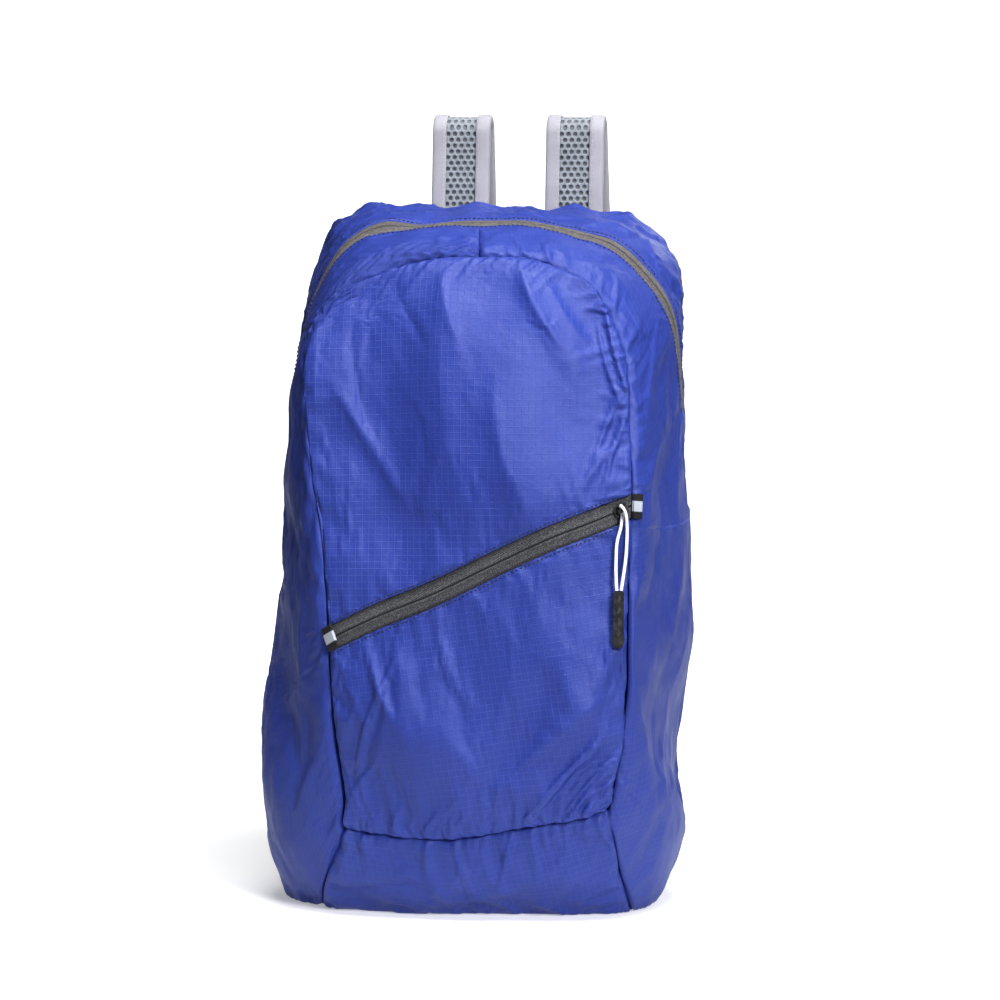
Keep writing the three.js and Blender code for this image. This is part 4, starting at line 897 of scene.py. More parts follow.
def seam_steps(start, stop, per_unit, gaps=(SEAM_GAP, SEAM_GAP)):
    """Even steps with closer lines beside both ends, where the seams draw the cloth in, and a slit left
    for the seam itself."""
    even = steps_between(start, stop, per_unit)
    even = even[(even > start + SEAM_LINES[-1] * 1.3) & (even < stop - SEAM_LINES[-1] * 1.3)]
    low = [start + gaps[0]] + [start + line for line in SEAM_LINES]
    high = [stop - line for line in SEAM_LINES[::-1]] + [stop - gaps[1]]
    return np.concatenate([low, even, high])


def net(surface, rows, columns):
    row, column = np.meshgrid(rows, columns, indexing="ij")
    return surface(row, column)


# Creases seen on the front panel's two halves: x, z to x, z, width and height.
UPPER_CREASES = (
    (-30, 408, -4, 236, 30.0, 8.0),
    (-70, 380, -66, 270, 16.0, -2.5),
    (18, 399, 48, 350, 6.0, 2.2),
    (34, 392, 62, 352, 4.0, 1.4),
    (69, 381, 96, 306, 2.6, 1.6),
    (66, 366, 82, 318, 2.0, 1.2),
    (84, 334, 68, 286, 2.4, 1.3),
    (86, 316, 74, 274, 1.8, 1.1),
    (85, 303, 58, 262, 3.4, 1.2),
    (-30, 398, -16, 352, 7.0, 1.6),
    (-62, 392, -40, 356, 4.5, -1.5),
    (-92, 330, -48, 262, 9.0, 2.0),
    (-84, 366, -74, 306, 5.0, -1.6),
    (4, 330, 30, 250, 12.0, 2.2),
)
LOWER_CREASES = (
    (-46, 176, -38, 84, 26.0, 6.0),
    (62, 190, 58, 100, 16.0, 3.5),
    (-50, 164, -76, 92, 1.6, 1.7),
    (-24, 180, -8, 138, 3.2, 1.6),
    (-38, 172, -32, 128, 4.0, -1.0),
    (-68, 165, -50, 124, 3.2, 1.5),
    (-82, 150, -66, 118, 2.4, 1.1),
    (80, 124, 26, 62, 3.0, 3.4),
    (82, 104, 46, 56, 2.6, 3.0),
    (76, 144, 20, 96, 3.6, 2.4),
    (72, 88, 58, 60, 2.4, 1.6),
    (62, 100, 40, 74, 2.2, -1.4),
    (-76, 97, -66, 60, 2.6, 1.4),
    (-40, 92, -34, 60, 3.6, 1.4),
    (-10, 88, -6, 58, 4.0, 1.2),
    (14, 96, 10, 58, 3.2, 1.3),
    (80, 178, 74, 146, 1.6, 1.1),
    (-30, 140, 10, 76, 14.0, 2.0),
)
# Sharp small creases laid over the settled cloth.
UPPER_LINES = (
    (69, 381, 98, 300, 1.8, 1.3),
    (74, 372, 92, 326, 1.4, 0.9),
    (66, 366, 84, 314, 1.5, 0.9),
    (86, 330, 66, 282, 1.8, 1.1),
    (88, 316, 74, 270, 1.5, 1.0),
    (86, 300, 54, 262, 2.4, 1.1),
    (88, 284, 70, 250, 1.6, 0.8),
    (18, 399, 46, 352, 3.6, 1.2),
    (-30, 398, -14, 350, 4.5, 0.9),
    (-62, 392, -44, 360, 3.0, 0.8),
    (-96, 330, -60, 286, 4.0, 0.9),
    (-20, 300, -36, 250, 5.0, 0.9),
    (6, 330, 22, 262, 6.0, 1.0),
)
LOWER_LINES = (
    (-52, 164, -78, 92, 1.5, 1.7),
    (-60, 150, -70, 104, 1.3, -0.8),
    (-26, 178, -14, 140, 2.0, 1.1),
    (-66, 164, -54, 128, 2.2, 1.0),
    (-12, 170, -2, 128, 3.0, 0.8),
    (84, 126, 24, 62, 1.9, 1.7),
    (86, 112, 44, 60, 1.6, 1.5),
    (80, 146, 22, 92, 2.4, 1.3),
    (84, 96, 56, 60, 1.5, 1.2),
    (72, 108, 50, 80, 1.4, -0.9),
    (84, 178, 76, 140, 1.4, 1.0),
    (88, 166, 72, 120, 1.6, 0.9),
    (-84, 96, -70, 60, 1.8, 1.0),
    (-46, 92, -38, 58, 2.2, 1.0),
    (-14, 86, -8, 58, 2.4, 0.9),
    (12, 92, 8, 58, 2.0, 1.0),
)
GUSSET_CREASES = (
    (96, 388, 112, 360, 3.0, 2.0),
    (88, 398, 108, 380, 3.2, 2.2),
    (100, 372, 116, 338, 2.6, 1.4),
    (84, 352, 108, 300, 3.0, 1.4),
    (94, 302, 104, 232, 5.0, 2.0),
    (102, 260, 112, 160, 6.0, 2.2),
    (86, 200, 96, 110, 5.0, 1.8),
    (84, 122, 108, 84, 4.0, 2.0),
    (80, 96, 104, 50, 4.0, 1.8),
    (-112, 250, -124, 150, 8.0, 2.2),
    (-104, 160, -112, 80, 6.0, -1.6),
    (-96, 110, -118, 60, 5.0, 1.8),
    (-100, 360, -106, 300, 6.0, 1.6),
    (-36, 416, -28, 404, 3.0, 1.6),
    (32, 414, 36, 402, 3.0, 1.2),
    (-84, 392, -64, 408, 3.5, 1.4),
)


def near_edges(panel, reach):
    """1 at a panel's edges, fading over a distance."""
    near = np.minimum.reduce([panel.edge(name)[0] for name in ("left", "right", "low", "high")])
    return np.exp(-(near / reach) ** 2)


def trim_lower(late):
    late.crease(LOWER_LINES)
    late.gather("low", 17, pitch=5, reach=13, height=0.9, dip=0.0)
    late.gather("right", 18, pitch=6, reach=8, height=0.5, dip=0.0, slant=-0.3)
    late.crumple(20, 10, 0.25, stretch=1.8, turn=-25, mask=near_edges(late, 22))


def trim_upper(late):
    late.crease(UPPER_LINES)
    late.gather("right", 27, pitch=5, reach=9, height=0.7, dip=0.0, slant=0.2)
    late.gather("high", 28, pitch=7, reach=8, height=0.5, dip=0.0)
    late.crumple(30, 10, 0.2, stretch=1.8, turn=15, mask=near_edges(late, 18))


def build_front():
    columns = seam_steps(0, COLUMNS, FRONT_FINE - 1)
    lower = Panel(net(front_point, seam_steps(0, POCKET_LOW, FRONT_FINE), columns))
    lower.gather("left", 11, pitch=8, reach=14, height=0.8)
    lower.gather("right", 12, pitch=6, reach=18, height=1.4, slant=-0.3)
    lower.gather("low", 13, pitch=6, reach=22, height=1.9, slant=0.1)
    lower.gather("high", 14, pitch=12, reach=16, height=0.6, dip=0.5)
    lower.crease(LOWER_CREASES)
    lower.wander(15, 60, 0.5)
    lower.crumple(16, 30, 1.1, stretch=2.6, turn=-20, mask=0.3 + 0.7 * near_edges(lower, 40))
    panel_piece("front_cloth_lower", lower, "front_panel_lower", turn=8.5,
                grow=0.007, levels=2, trim=trim_lower)
    upper = Panel(net(front_point, seam_steps(POCKET_HIGH, ROWS, FRONT_FINE), columns))
    upper.gather("left", 21, pitch=8, reach=12, height=0.7)
    upper.gather("right", 22, pitch=5.5, reach=16, height=1.6, slant=0.2)
    upper.gather("high", 23, pitch=7, reach=16, height=1.2)
    upper.gather("low", 24, pitch=14, reach=14, height=0.5, dip=0.5)
    upper.crease(UPPER_CREASES)
    upper.wander(25, 70, 0.5)
    upper.crumple(26, 34, 0.8, stretch=2.4, turn=10, mask=0.2 + 0.8 * near_edges(upper, 30))
    panel_piece("front_cloth_upper", upper, "front_panel_upper", turn=1.5,
                grow=0.005, levels=2, trim=trim_upper)


def build_back():
    back = Panel(net(back_point, steps_between(0, ROWS, BACK_FINE), steps_between(0, COLUMNS, BACK_FINE)))
    for index, name in enumerate(("left", "right", "low", "high")):
        back.gather(name, 31 + index, pitch=9, reach=20, height=1.0)
    back.wander(36, 60, 1.6)
    back.crumple(37, 34, 2.2, stretch=1.6)
    panel_piece("back_cloth", back, "back_panel", turn=0.0)


ZIP_LINE = 4


def gusset_panel(name, start, stop, seed, node):
    """One side panel: its whole width below the main zip's end and the front part beside the zip."""
    places = steps_between(start, stop, SIDE_FINE)
    lines = np.concatenate([seam_steps(0, ZIP_LINE, 7), steps_between(ZIP_LINE, ZIP_LINE + 1, 6)[1:-1],
                            seam_steps(ZIP_LINE + 1, 8, 6)])
    panel = Panel(net(gusset_net, places, lines))
    row, line = np.meshgrid((places[:-1] + places[1:]) / 2, (lines[:-1] + lines[1:]) / 2, indexing="ij")
    keep = (row < MAIN_START) | (row > MAIN_END) | (line < ZIP_LINE)
    zip_column = int(np.searchsorted(lines, ZIP_LINE - 1e-6))
    beside = ((places > MAIN_START) & (places < MAIN_END))[:, None] * np.ones(len(lines))
    to_zip = np.abs(panel.across - panel.across[:, zip_column:zip_column + 1])
    panel.gather("left", seed, pitch=7, reach=18, height=1.1)
    panel.gather("right", seed + 1, pitch=9, reach=20, height=1.0, band=1 - beside)
    panel.gather("left", seed + 2, pitch=11, reach=12, height=0.7, dip=0.6,
                 line=(to_zip, panel.along), band=beside)
    panel.gather("low", seed + 3, pitch=8, reach=16, height=0.9)
    panel.gather("high", seed + 4, pitch=8, reach=16, height=0.7, dip=0.7)
    panel.crease(GUSSET_CREASES)
    panel.wander(seed + 5, 60, 0.6)
    panel.crumple(seed + 6, 24, 1.3, stretch=3.0)
    panel.lift *= 1 - beside * np.exp(-(to_zip / 16) ** 2)
    panel_piece(name, panel, node, keep=keep, grow=0.007)


def build_gusset():
    gusset_panel("side_cloth_left", 0, TOP_SEAM, 41, "side_panel_left")
    gusset_panel("side_cloth_right", TOP_SEAM, 2 * ROWS + COLUMNS, 51, "side_panel_right")
    bottom = Panel(net(gusset_net, steps_between(LOOP - COLUMNS, LOOP - 1e-6, 6), steps_between(0, 8, 10)))
    bottom.gather("left", 61, pitch=6.5, reach=28, height=2.2)
    bottom.gather("right", 62, pitch=8, reach=20, height=1.0)
    bottom.gather("low", 63, pitch=8, reach=16, height=1.0)
    bottom.gather("high", 64, pitch=8, reach=16, height=1.0)
    bottom.wander(65, 50, 1.0)
    bottom.crumple(66, 22, 1.9, stretch=1.6)
    panel_piece("bottom_cloth", bottom, "bottom_panel")
    top = Panel(net(gusset_net, steps_between(MAIN_START, MAIN_END, SIDE_FINE + 1), steps_between(5, 8, 9)))
    top.gather("right", 71, pitch=15, reach=18, height=1.4, dip=0.4)
    top.gather("left", 72, pitch=11, reach=10, height=0.8, dip=0.6)
    top.wander(73, 50, 1.0)
    top.crumple(74, 18, 1.6, stretch=1.4)
    top.lift *= 1 - np.exp(-(top.across / 8) ** 2)
    panel_piece("top_back_cloth", top, "top_back_panel", grow=0.008)


# Zips


TAPE_MIDDLE = 16
TAPE_DIVE = 1.3


def build_tape(name, surface, places, lines, depth, look, nodes):
    """A zip's two tapes: a band under the cloth with a low ridge on each side of its middle line."""
    points = net(surface, places, lines)
    across = lengths(points, 1)
    across -= across[:, TAPE_MIDDLE:TAPE_MIDDLE + 1]
    along = np.broadcast_to(lengths(points, 0)[:, TAPE_MIDDLE:TAPE_MIDDLE + 1], across.shape)
    ridge = 0.7 * np.exp(-((np.abs(across) - 1.5) / 1.0) ** 2) - 0.5 * np.exp(-(across / 0.35) ** 2)
    under = TAPE_DIVE * smoothstep(np.abs(across), ZIP_WIDTH / 2 - 0.6, ZIP_WIDTH / 2 + 1.2)
    sunk = points + normals_of(points) * (ridge - depth - under)[..., None]
    piece = new_object(name, sunk.reshape(-1, 3), grid_faces(*sunk.shape[:2]),
                       np.stack([along, across], -1).reshape(-1, 2))
    smooth(piece)
    return finish_piece(piece, look, *nodes)


# A stitch from end to end: place as a share of its length, thickness and height as shares of its radius.
STITCH_PROFILE = ((-0.5, 0.15, -0.9), (-0.38, 0.75, 0.0), (-0.15, 1.0, 0.5), (0.15, 1.0, 0.5),
                  (0.38, 0.75, 0.0), (0.5, 0.15, -0.9))
STITCH_SIDES = 6


def ring_faces(base, rings, corners):
    """Faces between rings of points that are numbered one after the other."""
    return [(base + ring * corners + corner, base + ring * corners + (corner + 1) % corners,
             base + (ring + 1) * corners + (corner + 1) % corners, base + (ring + 1) * corners + corner)
            for ring in range(rings - 1) for corner in range(corners)]


def stitches(name, line, normals, pitch, length, radius, look):
    """Short threads laid along a line of points on the cloth."""
    arc = lengths(line)
    points, faces = [], []
    for start in np.arange(pitch, arc[-1] - pitch, pitch):
        centre, up = at_lengths(start, arc, line), unit(at_lengths(start, arc, normals))
        run = unit(at_lengths(start + 0.5, arc, line) - at_lengths(start - 0.5, arc, line))
        side = np.cross(run, up)
        faces += ring_faces(len(points), len(STITCH_PROFILE), STITCH_SIDES)
        for forward, swell, raised in STITCH_PROFILE:
            middle = centre + run * forward * length + up * raised * radius
            for corner in range(STITCH_SIDES):
                angle = 2 * math.pi * corner / STITCH_SIDES
                points.append(middle + (side * math.cos(angle) + up * math.sin(angle)) * radius * swell)
    uv = np.zeros((len(points), 2))
    uv[:, 0] = np.arange(len(points)) * 0.13
    uv[:, 1] = np.arange(len(points)) * 0.29
    piece = new_object(name, np.array(points), faces, uv)
    piece.data.materials.append(LOOKS[look])
    return piece


def build_zips():
    pocket_lines = POCKET_ZIP + np.linspace(-0.5 - 4.5 / ZIP_WIDTH, 0.5 + 4.5 / ZIP_WIDTH, 33)
    build_tape("pocket_zip_band", lambda column, row: front_point(row, column),
               steps_between(0.05, COLUMNS - 0.05, 8), pocket_lines, TAPE_DEPTH, "pocket_tape",
               ["pocket_zip_tape_lower", "pocket_zip_tape_upper", "pocket_zip_coil"])
    main_lines = np.concatenate([np.linspace(3.2, ZIP_LINE, 6)[:-1], np.linspace(ZIP_LINE, ZIP_LINE + 1, 23),
                                 np.linspace(ZIP_LINE + 1, 5.8, 6)[1:]])
    build_tape("main_zip_band", gusset_net, steps_between(MAIN_START + 0.02, MAIN_END - 0.02, 8), main_lines,
               MAIN_TAPE_DEPTH, "top_tape", ["main_zip_tape_front", "main_zip_tape_back", "main_zip_coil"])


STITCH_INSET = 1.5


def beside_edge(surface, edge, inner, places):
    """The line on a surface that runs a stitch's inset from a cloth's edge, and the outward normals."""
    lines = np.linspace(edge, inner, 30)
    fan = np.array([surface(places, np.full(len(places), line)) for line in lines])
    arc = lengths(fan)
    line = np.array([np.interp(STITCH_INSET, arc[:, index], lines) for index in range(len(places))])
    points = surface(places, line)
    return points, -inward(points)


def add_stitches(name, surface, edge, inner, places, cloths):
    points, out = laid_on(cloths, *beside_edge(surface, edge, inner, places))
    piece = stitches(name, points, out, 2.8, 1.9, 0.44, "thread_blue")
    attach(piece, BODY)


def build_stitches():
    columns = steps_between(0.2, COLUMNS - 0.2, 6)
    for name, edge, inner in (("lower", POCKET_LOW - SEAM_GAP, POCKET_LOW - 0.5),
                              ("upper", POCKET_HIGH + SEAM_GAP, POCKET_HIGH + 0.5)):
        add_stitches(f"pocket_stitches_{name}", lambda column, row: front_point(row, column), edge, inner,
                     columns, [f"front_cloth_{name}"])
    places = steps_between(MAIN_START + 0.3, MAIN_END - 0.3, 6)
    add_stitches("main_stitches_front", gusset_net, ZIP_LINE - SEAM_GAP, ZIP_LINE - 1, places,
                 ["side_cloth_left", "side_cloth_right"])
    add_stitches("main_stitches_back", gusset_net, ZIP_LINE + 1, ZIP_LINE + 2, places, ["top_back_cloth"])


# The pull on the pocket slider: route in millimetres right, up and out from the slider's seat.
CORD_POINTS = (
    (-1.3, -47.3, 9.8), (-1.9, -40.5, 8.6), (-2.2, -31.0, 7.0), (-1.8, -19.0, 5.6), (0.4, -9.5, 4.3),
    (1.0, -3.6, 3.5), (0.8, 0.2, 3.1), (0.3, 3.1, 4.2), (1.0, 3.5, 6.6), (2.9, 1.2, 7.6), (3.9, -2.4, 7.0),
    (4.3, -9.0, 6.0), (4.2, -18.0, 5.6), (3.7, -28.0, 6.6), (2.4, -39.0, 8.2), (1.3, -47.3, 9.8),
)
CORD_DIAMETER = 2.0


def slider_seat():
    rows = POCKET_ZIP + np.array([-0.1, 0.0, 0.1])
    columns = COLUMNS - 1 + np.array([-0.1, 0.0, 0.1])
    patch = net(front_point, rows, columns)
    return patch[1, 1] - normals_of(patch)[1, 1] * CLOTH


def build_cord():
    seat = slider_seat()
    route = [seat + np.array([right, -out, up]) for right, up, out in CORD_POINTS]
    path, arc = resample(route, 0.6)
    tangent = unit(np.gradient(path, axis=0))
    side = np.cross(tangent[0], [0, 0, 1.0])
    sides = []
    for direction in tangent:
        side = unit(side - direction * (side @ direction))
        sides.append(side)
    sides = np.array(sides)
    up = np.cross(tangent, sides)
    angles = np.linspace(0, 2 * np.pi, 13)
    ring = (sides[:, None] * np.cos(angles)[None, :, None] + up[:, None] * np.sin(angles)[None, :, None])
    body = path[:, None] + ring * CORD_DIAMETER / 2
    uv = np.stack(np.broadcast_arrays(arc[:, None], angles[None] * CORD_DIAMETER / 2), -1)
    piece = new_object("pull_cord_loop", body.reshape(-1, 3), grid_faces(len(path), len(angles)),
                       uv.reshape(-1, 2))
    finish_piece(piece, "cord", "pull_cord")


# Straps

STRAP_WIDTH, STRAP_SPACING, STRAP_RISE, STRAP_FOLD_RADIUS, STRAP_LEAN = 37.0, 73.0, 56.0, 8.0, 6.0
STRAP_BOW, STRAP_SPLAY, STRAP_LOWER_END, STRAP_SEWN = 46.0, 30.0, 128.0, 30.0
MESH_THICK, BACKING_THICK, BINDING_WIDTH, BINDING_THICK = 2.4, 1.2, 9.0, 1.0
MESH_BOTTOM = -LAYER_GAP / 2 - MESH_THICK
BACKING_TOP = LAYER_GAP / 2 + BACKING_THICK
CORE_HALF = STRAP_WIDTH / 2 - BINDING_THICK - LAYER_GAP
STRAP_FRONT = MESH_BOTTOM - LAYER_GAP - BINDING_THICK
STRAP_BACK = BACKING_TOP + LAYER_GAP + BINDING_THICK
WEBBING_WIDTH, WEBBING_THICK, WEBBING_SEWN, WEBBING_LOW_SHARE = 20.0, 1.4, 16.0, 0.07
LOCK_BAR, LOCK_SLOT, LOCK_THICK, LOCK_START, TAIL_LENGTH = 4.0, 8.0, 3.0, 6.0, 34.0
UPPER_BAR = LOCK_START + LOCK_BAR / 2
MIDDLE_BAR = UPPER_BAR + LOCK_BAR + LOCK_SLOT
LOCK_END = LOCK_START + 3 * LOCK_BAR + 2 * LOCK_SLOT
BAR_REACH = math.hypot(LOCK_BAR, LOCK_THICK) / 2 + LAYER_GAP + WEBBING_THICK / 2
SIDE = np.array([1.0, 0.0, 0.0])


def back_at(x, z):
    row, column, probe = ROWS / 2, COLUMNS / 2, 0.2
    for _ in range(30):
        here = back_point(np.array(row), np.array(column))
        per_row = max((back_point(np.array(row + probe), np.array(column))[2] - here[2]) / probe, 1)
        per_column = max((back_point(np.array(row), np.array(column + probe))[0] - here[0]) / probe, 1)
        row = min(max(row + 0.7 * (z - here[2]) / per_row, 0), ROWS - probe)
        column = min(max(column + 0.7 * (x - here[0]) / per_column, 0), COLUMNS - probe)
    return back_point(np.array(row), np.array(column))


def back_reach(x, width, z):
    return max(back_at(x + share * width, z)[1] for share in (-0.5, -0.25, 0, 0.25, 0.5))


def strap_path(sign):
    x = sign * STRAP_SPACING / 2
    sewn = []
    for share in (1, 0.55, 0.15):
        z = BAG_HEIGHT - BACK_SCALLOP - STRAP_SEWN * share
        sewn.append((x, back_reach(x, STRAP_WIDTH, z) + LAYER_GAP * 2 - STRAP_FRONT, z))
    sewn_y = sewn[-1][1]
    rise = [(x, sewn_y + STRAP_LEAN * lean, BAG_HEIGHT + STRAP_RISE * up)
            for up, lean in ((0.14, 0.25), (0.45, 0.67))]
    fold_y = sewn_y + STRAP_LEAN + STRAP_FOLD_RADIUS
    fold_z = BAG_HEIGHT + STRAP_RISE - STRAP_FOLD_RADIUS - (STRAP_BACK - STRAP_FRONT) / 2
    fold = [(x, fold_y - STRAP_FOLD_RADIUS * math.cos(math.radians(angle)),
             fold_z + STRAP_FOLD_RADIUS * math.sin(math.radians(angle))) for angle in range(0, 181, 30)]
    start_y, far_y = fold_y + STRAP_FOLD_RADIUS, sewn_y + STRAP_BOW
    fall = [(x + sign * STRAP_SPLAY * splay, start_y + (far_y - start_y) * bow,
             fold_z + (STRAP_LOWER_END - fold_z) * drop)
            for drop, bow, splay in ((0.2, 0.62, 0.03), (0.4, 0.94, 0.15), (0.6, 1.0, 0.4), (0.8, 0.86, 0.75),
                                     (1.0, 0.55, 1.0))]
    return np.array(sewn + rise + fold + fall)


HEX_PITCH = 4.3
HEX_HOLE = 1.35
HEX_DEPTH = 1.1
HEX_HALF_WIDTH = 11.0


def build_spacer_mesh(name, path, node):
    """The strap's padding: a sheet of small holes over a dark woven floor."""
    line, arc = resample(path, 1.5)
    side, up = frames_along(line, SIDE)
    corners = 12
    angles = 2 * np.pi * np.arange(corners) / corners
    corner_radius = HEX_PITCH / math.sqrt(3)
    outer = np.where(np.arange(corners) % 2 == 0, corner_radius, HEX_PITCH / 2)
    directions = np.stack([np.cos(angles), np.sin(angles)], -1)
    rings = (outer, np.full(corners, HEX_HOLE + 0.35), np.full(corners, HEX_HOLE),
             np.full(corners, HEX_HOLE + 0.15))
    heights = (MESH_BOTTOM + 0.12, MESH_BOTTOM, MESH_BOTTOM + 0.3, MESH_BOTTOM + HEX_DEPTH)
    pitch_along = corner_radius * 1.5
    flat, raised, faces = [], [], []
    for row in range(int((arc[-1] - 3) / pitch_along)):
        shift = HEX_PITCH / 2 if row % 2 else 0.0
        for column in range(-3, 4):
            centre = np.array([2.5 + row * pitch_along, column * HEX_PITCH + shift])
            if abs(centre[1]) > HEX_HALF_WIDTH:
                continue
            faces += ring_faces(len(flat), len(rings), corners)
            for radius, height in zip(rings, heights):
                flat.extend(centre + directions * radius[:, None])
                raised.extend([height] * corners)
    flat, raised = np.array(flat), np.array(raised)
    points = place_on(line, side, up, arc, flat[:, 0], flat[:, 1], raised)
    piece = new_object(name, points, faces, flat)
    weld(piece, 0.05 * MM)
    finish_piece(piece, "mesh", node)
    top, bottom = MESH_BOTTOM + HEX_DEPTH, -LAYER_GAP / 2
    core = [(-CORE_HALF, top), (CORE_HALF, top), (CORE_HALF, bottom), (-CORE_HALF, bottom)]
    floor = sweep(name + "_floor", path, core, SIDE)
    finish_piece(floor, "mesh_floor")


def place_on(line, side, up, arc, along, across, raised):
    base, sideways, upward = (at_lengths(along, arc, values) for values in (line, side, up))
    return base + sideways * across[:, None] + upward * raised[:, None]


def binding_outline(sign):
    """The folded tape round one edge of the strap, rounded at its turns."""
    outer, inner = STRAP_WIDTH / 2, STRAP_WIDTH / 2 - BINDING_WIDTH
    thick = BINDING_THICK
    outside = [(inner, STRAP_FRONT + 0.25), (inner + 0.5, STRAP_FRONT), (inner + 3, STRAP_FRONT - 0.12),
               (outer - 2.5, STRAP_FRONT - 0.1), (outer - 0.9, STRAP_FRONT + 0.15),
               (outer - 0.2, STRAP_FRONT + 0.9), (outer, STRAP_FRONT + 2), (outer, STRAP_BACK - 2),
               (outer - 0.2, STRAP_BACK - 0.9),
               (outer - 0.9, STRAP_BACK - 0.15), (outer - 2.5, STRAP_BACK), (inner + 0.5, STRAP_BACK),
               (inner, STRAP_BACK - 0.3)]
    inside = [(inner, STRAP_BACK - thick), (outer - thick, STRAP_BACK - thick),
              (outer - thick, STRAP_FRONT + thick), (inner, STRAP_FRONT + thick)]
    points = [(sign * across, raised) for across, raised in outside + inside]
    return points if sign > 0 else points[::-1]


def hairpin(centre, turn):
    angles = [math.radians(angle) for angle in range(-90, 91, 30)]
    return [(centre + turn * BAR_REACH * math.cos(angle), BAR_REACH * math.sin(angle)) for angle in angles]


def build_lower_end(suffix, path):
    """The sewn loop, the adjustable webbing and its free tail at a strap's lower end."""
    end = path[-1]
    along = unit(end - path[-2])
    across = unit(SIDE - along * (along @ SIDE))
    out = np.cross(along, across)
    clear_front = STRAP_FRONT - LAYER_GAP - WEBBING_THICK / 2
    clear_back = STRAP_BACK + LAYER_GAP + WEBBING_THICK / 2
    band = rounded_rectangle(WEBBING_WIDTH, WEBBING_THICK)
    loop = [(-WEBBING_SEWN, clear_front), (-1.5, clear_front), *hairpin(UPPER_BAR, 1), (-1.5, clear_back),
            (-WEBBING_SEWN, clear_back)]
    points = [end + along * forward + out * raised for forward, raised in loop]
    finish_piece(sweep(f"strap_loop_{suffix}", points, band, across, 1.0), "webbing",
                 f"strap_end_loop_{suffix}")
    lower = [(LOCK_END + TAIL_LENGTH, -BAR_REACH - 1), (LOCK_END, -BAR_REACH), *hairpin(MIDDLE_BAR, -1),
             (LOCK_END, BAR_REACH), (LOCK_END + 4, BAR_REACH)]
    points = [end + along * forward + out * raised for forward, raised in lower]
    low_z = BAG_HEIGHT * WEBBING_LOW_SHARE
    anchor_x = end[0] + along[0] * (end[2] - low_z) / abs(along[2])
    for z in (low_z + WEBBING_SEWN, low_z):
        rest = back_reach(anchor_x, WEBBING_WIDTH, z) + WEBBING_THICK / 2 + 2 * LAYER_GAP
        points.append(np.array([anchor_x, rest, z]))
    finish_piece(sweep(f"webbing_{suffix}", points, band, across, 1.0), "webbing",
                 f"lower_webbing_{suffix}")


def build_strap(suffix, sign):
    path = strap_path(sign)
    build_spacer_mesh(f"strap_padding_{suffix}", path, f"strap_mesh_{suffix}")
    backing = sweep(f"strap_back_{suffix}", path,
                    [(-CORE_HALF, LAYER_GAP / 2), (CORE_HALF, LAYER_GAP / 2), (CORE_HALF, BACKING_TOP),
                     (-CORE_HALF, BACKING_TOP)], SIDE)
    finish_piece(backing, "backing", f"strap_backing_{suffix}")
    line, _ = resample(path, 1.5)
    side, up = frames_along(line, SIDE)
    for place, edge in (("inner", -sign), ("outer", sign)):
        binding = sweep(f"strap_edge_{place}_{suffix}", path, binding_outline(edge), SIDE, 2.0,
                        ripple=0.12)
        finish_piece(binding, "binding", f"strap_binding_{place}_{suffix}")
        inset = edge * (STRAP_WIDTH / 2 - BINDING_WIDTH + 1.6)
        thread_line = line + side * inset + up * (STRAP_FRONT - 0.15)
        piece = stitches(f"strap_stitches_{place}_{suffix}", thread_line, -up, 2.6, 1.8, 0.24, "thread_grey")
        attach(piece, BODY)
    build_lower_end(suffix, path)


# Side tabs

TAB_WIDTH, TAB_REACH, TAB_THICK, TAB_LIFT = 15.0, 9.0, 0.9, math.radians(22)
RIGHT_TAB_PLACE = 2 * ROWS + COLUMNS - POCKET_ZIP


def build_tab(suffix, place, flat_target):
    seam = gusset_point(np.array(place), 0.0)
    along = unit(gusset_point(np.array(place + 0.5), 0.0) - gusset_point(np.array(place - 0.5), 0.0))
    flat = unit(flat_target - seam)
    outward = -inward(seam[None])[0]
    reach_line = flat * math.cos(TAB_LIFT) + outward * math.sin(TAB_LIFT)
    raise_line = unit(np.cross(reach_line, along))
    if raise_line @ outward < 0:
        raise_line = -raise_line
    half = TAB_THICK / 2 + LAYER_GAP / 2
    turn = [(TAB_REACH - half + half * math.cos(math.radians(angle)), half * math.sin(math.radians(angle)))
            for angle in range(90, -91, -30)]
    route = [(0, half), (TAB_REACH * 0.5, half), *turn, (TAB_REACH * 0.5, -half), (0, -half)]
    base = seam + outward * (2 * LAYER_GAP + TAB_THICK)
    points = [base + reach_line * forward + raise_line * raised for forward, raised in route]
    across = np.cross(raise_line, reach_line)
    piece = sweep(f"tab_ribbon_{suffix}", points, rounded_rectangle(TAB_WIDTH, TAB_THICK), across, 0.5,
                  ribbon=True)
    finish_piece(piece, "tab", f"tab_{suffix}")


# Hard parts keep their CAD shape


def finish_hard(node, look, bevel):
    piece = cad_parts[node]
    piece.data.materials.clear()
    piece.data.materials.append(LOOKS[look])
    rounding = piece.modifiers.new("Bevel", "BEVEL")
    rounding.width = bevel * MM
    rounding.segments = 3
    rounding.limit_method = "ANGLE"
    rounding.angle_limit = math.radians(28)


def build_hard_parts():
    for node, look, bevel in (("main_zip_slider", "slider", 0.35), ("pocket_zip_slider", "slider", 0.3),
                              ("pull_grip", "grip", 0.18), ("ladder_lock_left", "buckle", 0.5),
                              ("ladder_lock_right", "buckle", 0.5)):
        finish_hard(node, look, bevel)


# Stage

CAMERA_AZIMUTH, CAMERA_RISE = math.radians(8), math.radians(6)
CAMERA_DISTANCE = 2500.0
CAMERA_AIM = np.array([0.0, 0.0, 253.0])
FRAME_WIDTH = 622.0
SENSOR = 36.0


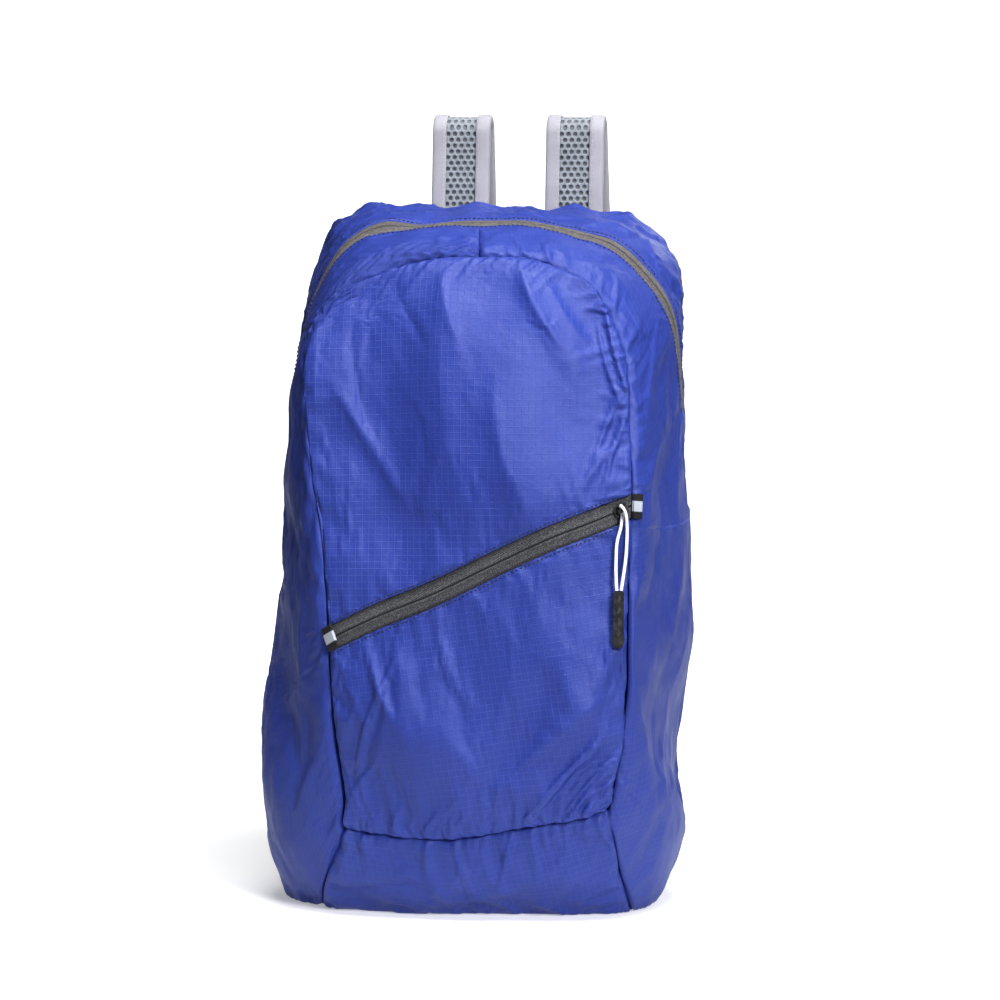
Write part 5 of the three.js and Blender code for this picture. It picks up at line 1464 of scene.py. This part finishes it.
def build_camera():
    backward = np.array([math.sin(CAMERA_AZIMUTH) * math.cos(CAMERA_RISE),
                         -math.cos(CAMERA_AZIMUTH) * math.cos(CAMERA_RISE), math.sin(CAMERA_RISE)])
    right = np.array([math.cos(CAMERA_AZIMUTH), math.sin(CAMERA_AZIMUTH), 0.0])
    up = np.cross(backward, right)
    data = bpy.data.cameras.new("camera")
    data.sensor_width = SENSOR
    data.lens = SENSOR * CAMERA_DISTANCE / FRAME_WIDTH
    data.clip_end = 50
    camera = add_object("camera", data)
    turn = Matrix((right, up, backward)).transposed().to_4x4()
    place = Vector(to_metres(CAMERA_AIM + backward * CAMERA_DISTANCE))
    camera.matrix_world = Matrix.Translation(place) @ turn
    bpy.context.scene.camera = camera


def area_light(name, place, target, size, energy):
    data = bpy.data.lights.new(name, "AREA")
    data.shape = "RECTANGLE"
    data.spread = math.radians(110)
    data.size, data.size_y = size
    data.energy = energy
    light = add_object(name, data)
    light.location = place
    light.rotation_euler = (Vector(target) - Vector(place)).to_track_quat("-Z", "Y").to_euler()


STAGE_WIDTH, STAGE_FRONT, STAGE_BACK, STAGE_BEND, STAGE_HEIGHT = 6.0, -6.0, 5.0, 1.4, 2.0
STAGE_GAP = 0.0005
WORLD_GREY = 0.1
# Each light's place and target in metres, its size and its power.
LIGHTS = {
    "key": ((1.1, -1.6, 1.15), (0, 0, 0.25), (0.5, 0.5), 15.5),
    "top": ((0.15, -0.5, 1.7), (0, 0, 0.3), (0.8, 0.5), 13),
    "back": ((0.6, 1.7, 1.2), (0, 0, 0.25), (0.9, 0.9), 2.5),
}


def build_stage():
    """A pale floor that curves up into a backdrop, and soft studio lights. The floor glows over the area in
    view, dimmer near the bag and brighter further back: painted light.
    """
    look = Look("glowing_studio_paper", (0.9, 0.9, 0.9), 0.9, Specular_IOR_Level=0.0)
    look.shader.inputs["Emission Color"].default_value = (1, 1, 1, 1)
    place = look.node("SeparateXYZ", {0: look.object_point()})
    depth = place.outputs["Y"]
    aside = look.math("SUBTRACT", look.math("ABSOLUTE", place.outputs["X"]), look.times(depth, 0.3))
    in_view = look.times(look.ramp(depth, -0.6, -0.36), look.ramp(aside, 0.42, 0.85, 1.0, 0.0))
    # Painted light: the floor glows though it is no lamp, weakest near the bag so its shadow shows and full
    # further back; outside the area in view it is grey and does not glow.
    glow = look.times(in_view, look.ramp(depth, 0.1, 1.6, 0.36, 1.0))
    look.feed(look.shader.inputs["Emission Strength"], glow)
    paper = look.mix(look.noise(1.2), (0.69, 0.69, 0.7), (0.71, 0.71, 0.71))
    look.colour(look.mix(in_view, (0.34, 0.34, 0.35), paper))
    bend = [(STAGE_BACK - STAGE_BEND + STAGE_BEND * math.sin(math.radians(angle)),
             STAGE_BEND - STAGE_BEND * math.cos(math.radians(angle))) for angle in range(0, 91, 6)]
    profile = [(STAGE_FRONT, 0.0), *bend, (STAGE_BACK, STAGE_HEIGHT)]
    points = [(side * STAGE_WIDTH, y, z) for y, z in profile for side in (-1, 1)]
    faces = [(2 * k, 2 * k + 1, 2 * k + 3, 2 * k + 2) for k in range(len(profile) - 1)]
    mesh = bpy.data.meshes.new("backdrop")
    mesh.from_pydata(points, [], faces)
    mesh.polygons.foreach_set("use_smooth", [True] * len(faces))
    mesh.materials.append(look.material)
    floor = add_object("backdrop", mesh)
    floor.location.z = -STAGE_GAP
    world = bpy.data.worlds.new("studio")
    world.use_nodes = True
    world.node_tree.nodes["Background"].inputs[0].default_value = (1, 1, 1, 1)
    world.node_tree.nodes["Background"].inputs[1].default_value = WORLD_GREY
    bpy.context.scene.world = world
    for name, settings in LIGHTS.items():
        area_light(name, *settings)
    display = bpy.context.scene.view_settings
    display.view_transform = "Standard"
    display.gamma = 0.84
    display.exposure = 0.12


build_camera()
build_cord()
build_hard_parts()
build_front()
build_gusset()
build_back()
build_zips()
build_stitches()
build_strap("left", -1)
build_strap("right", 1)
build_tab("left", POCKET_ZIP, front_point(np.array(POCKET_ZIP), np.array(1.0)))
build_tab("right", RIGHT_TAB_PLACE, gusset_point(np.array(RIGHT_TAB_PLACE), 0.08))
build_stage()
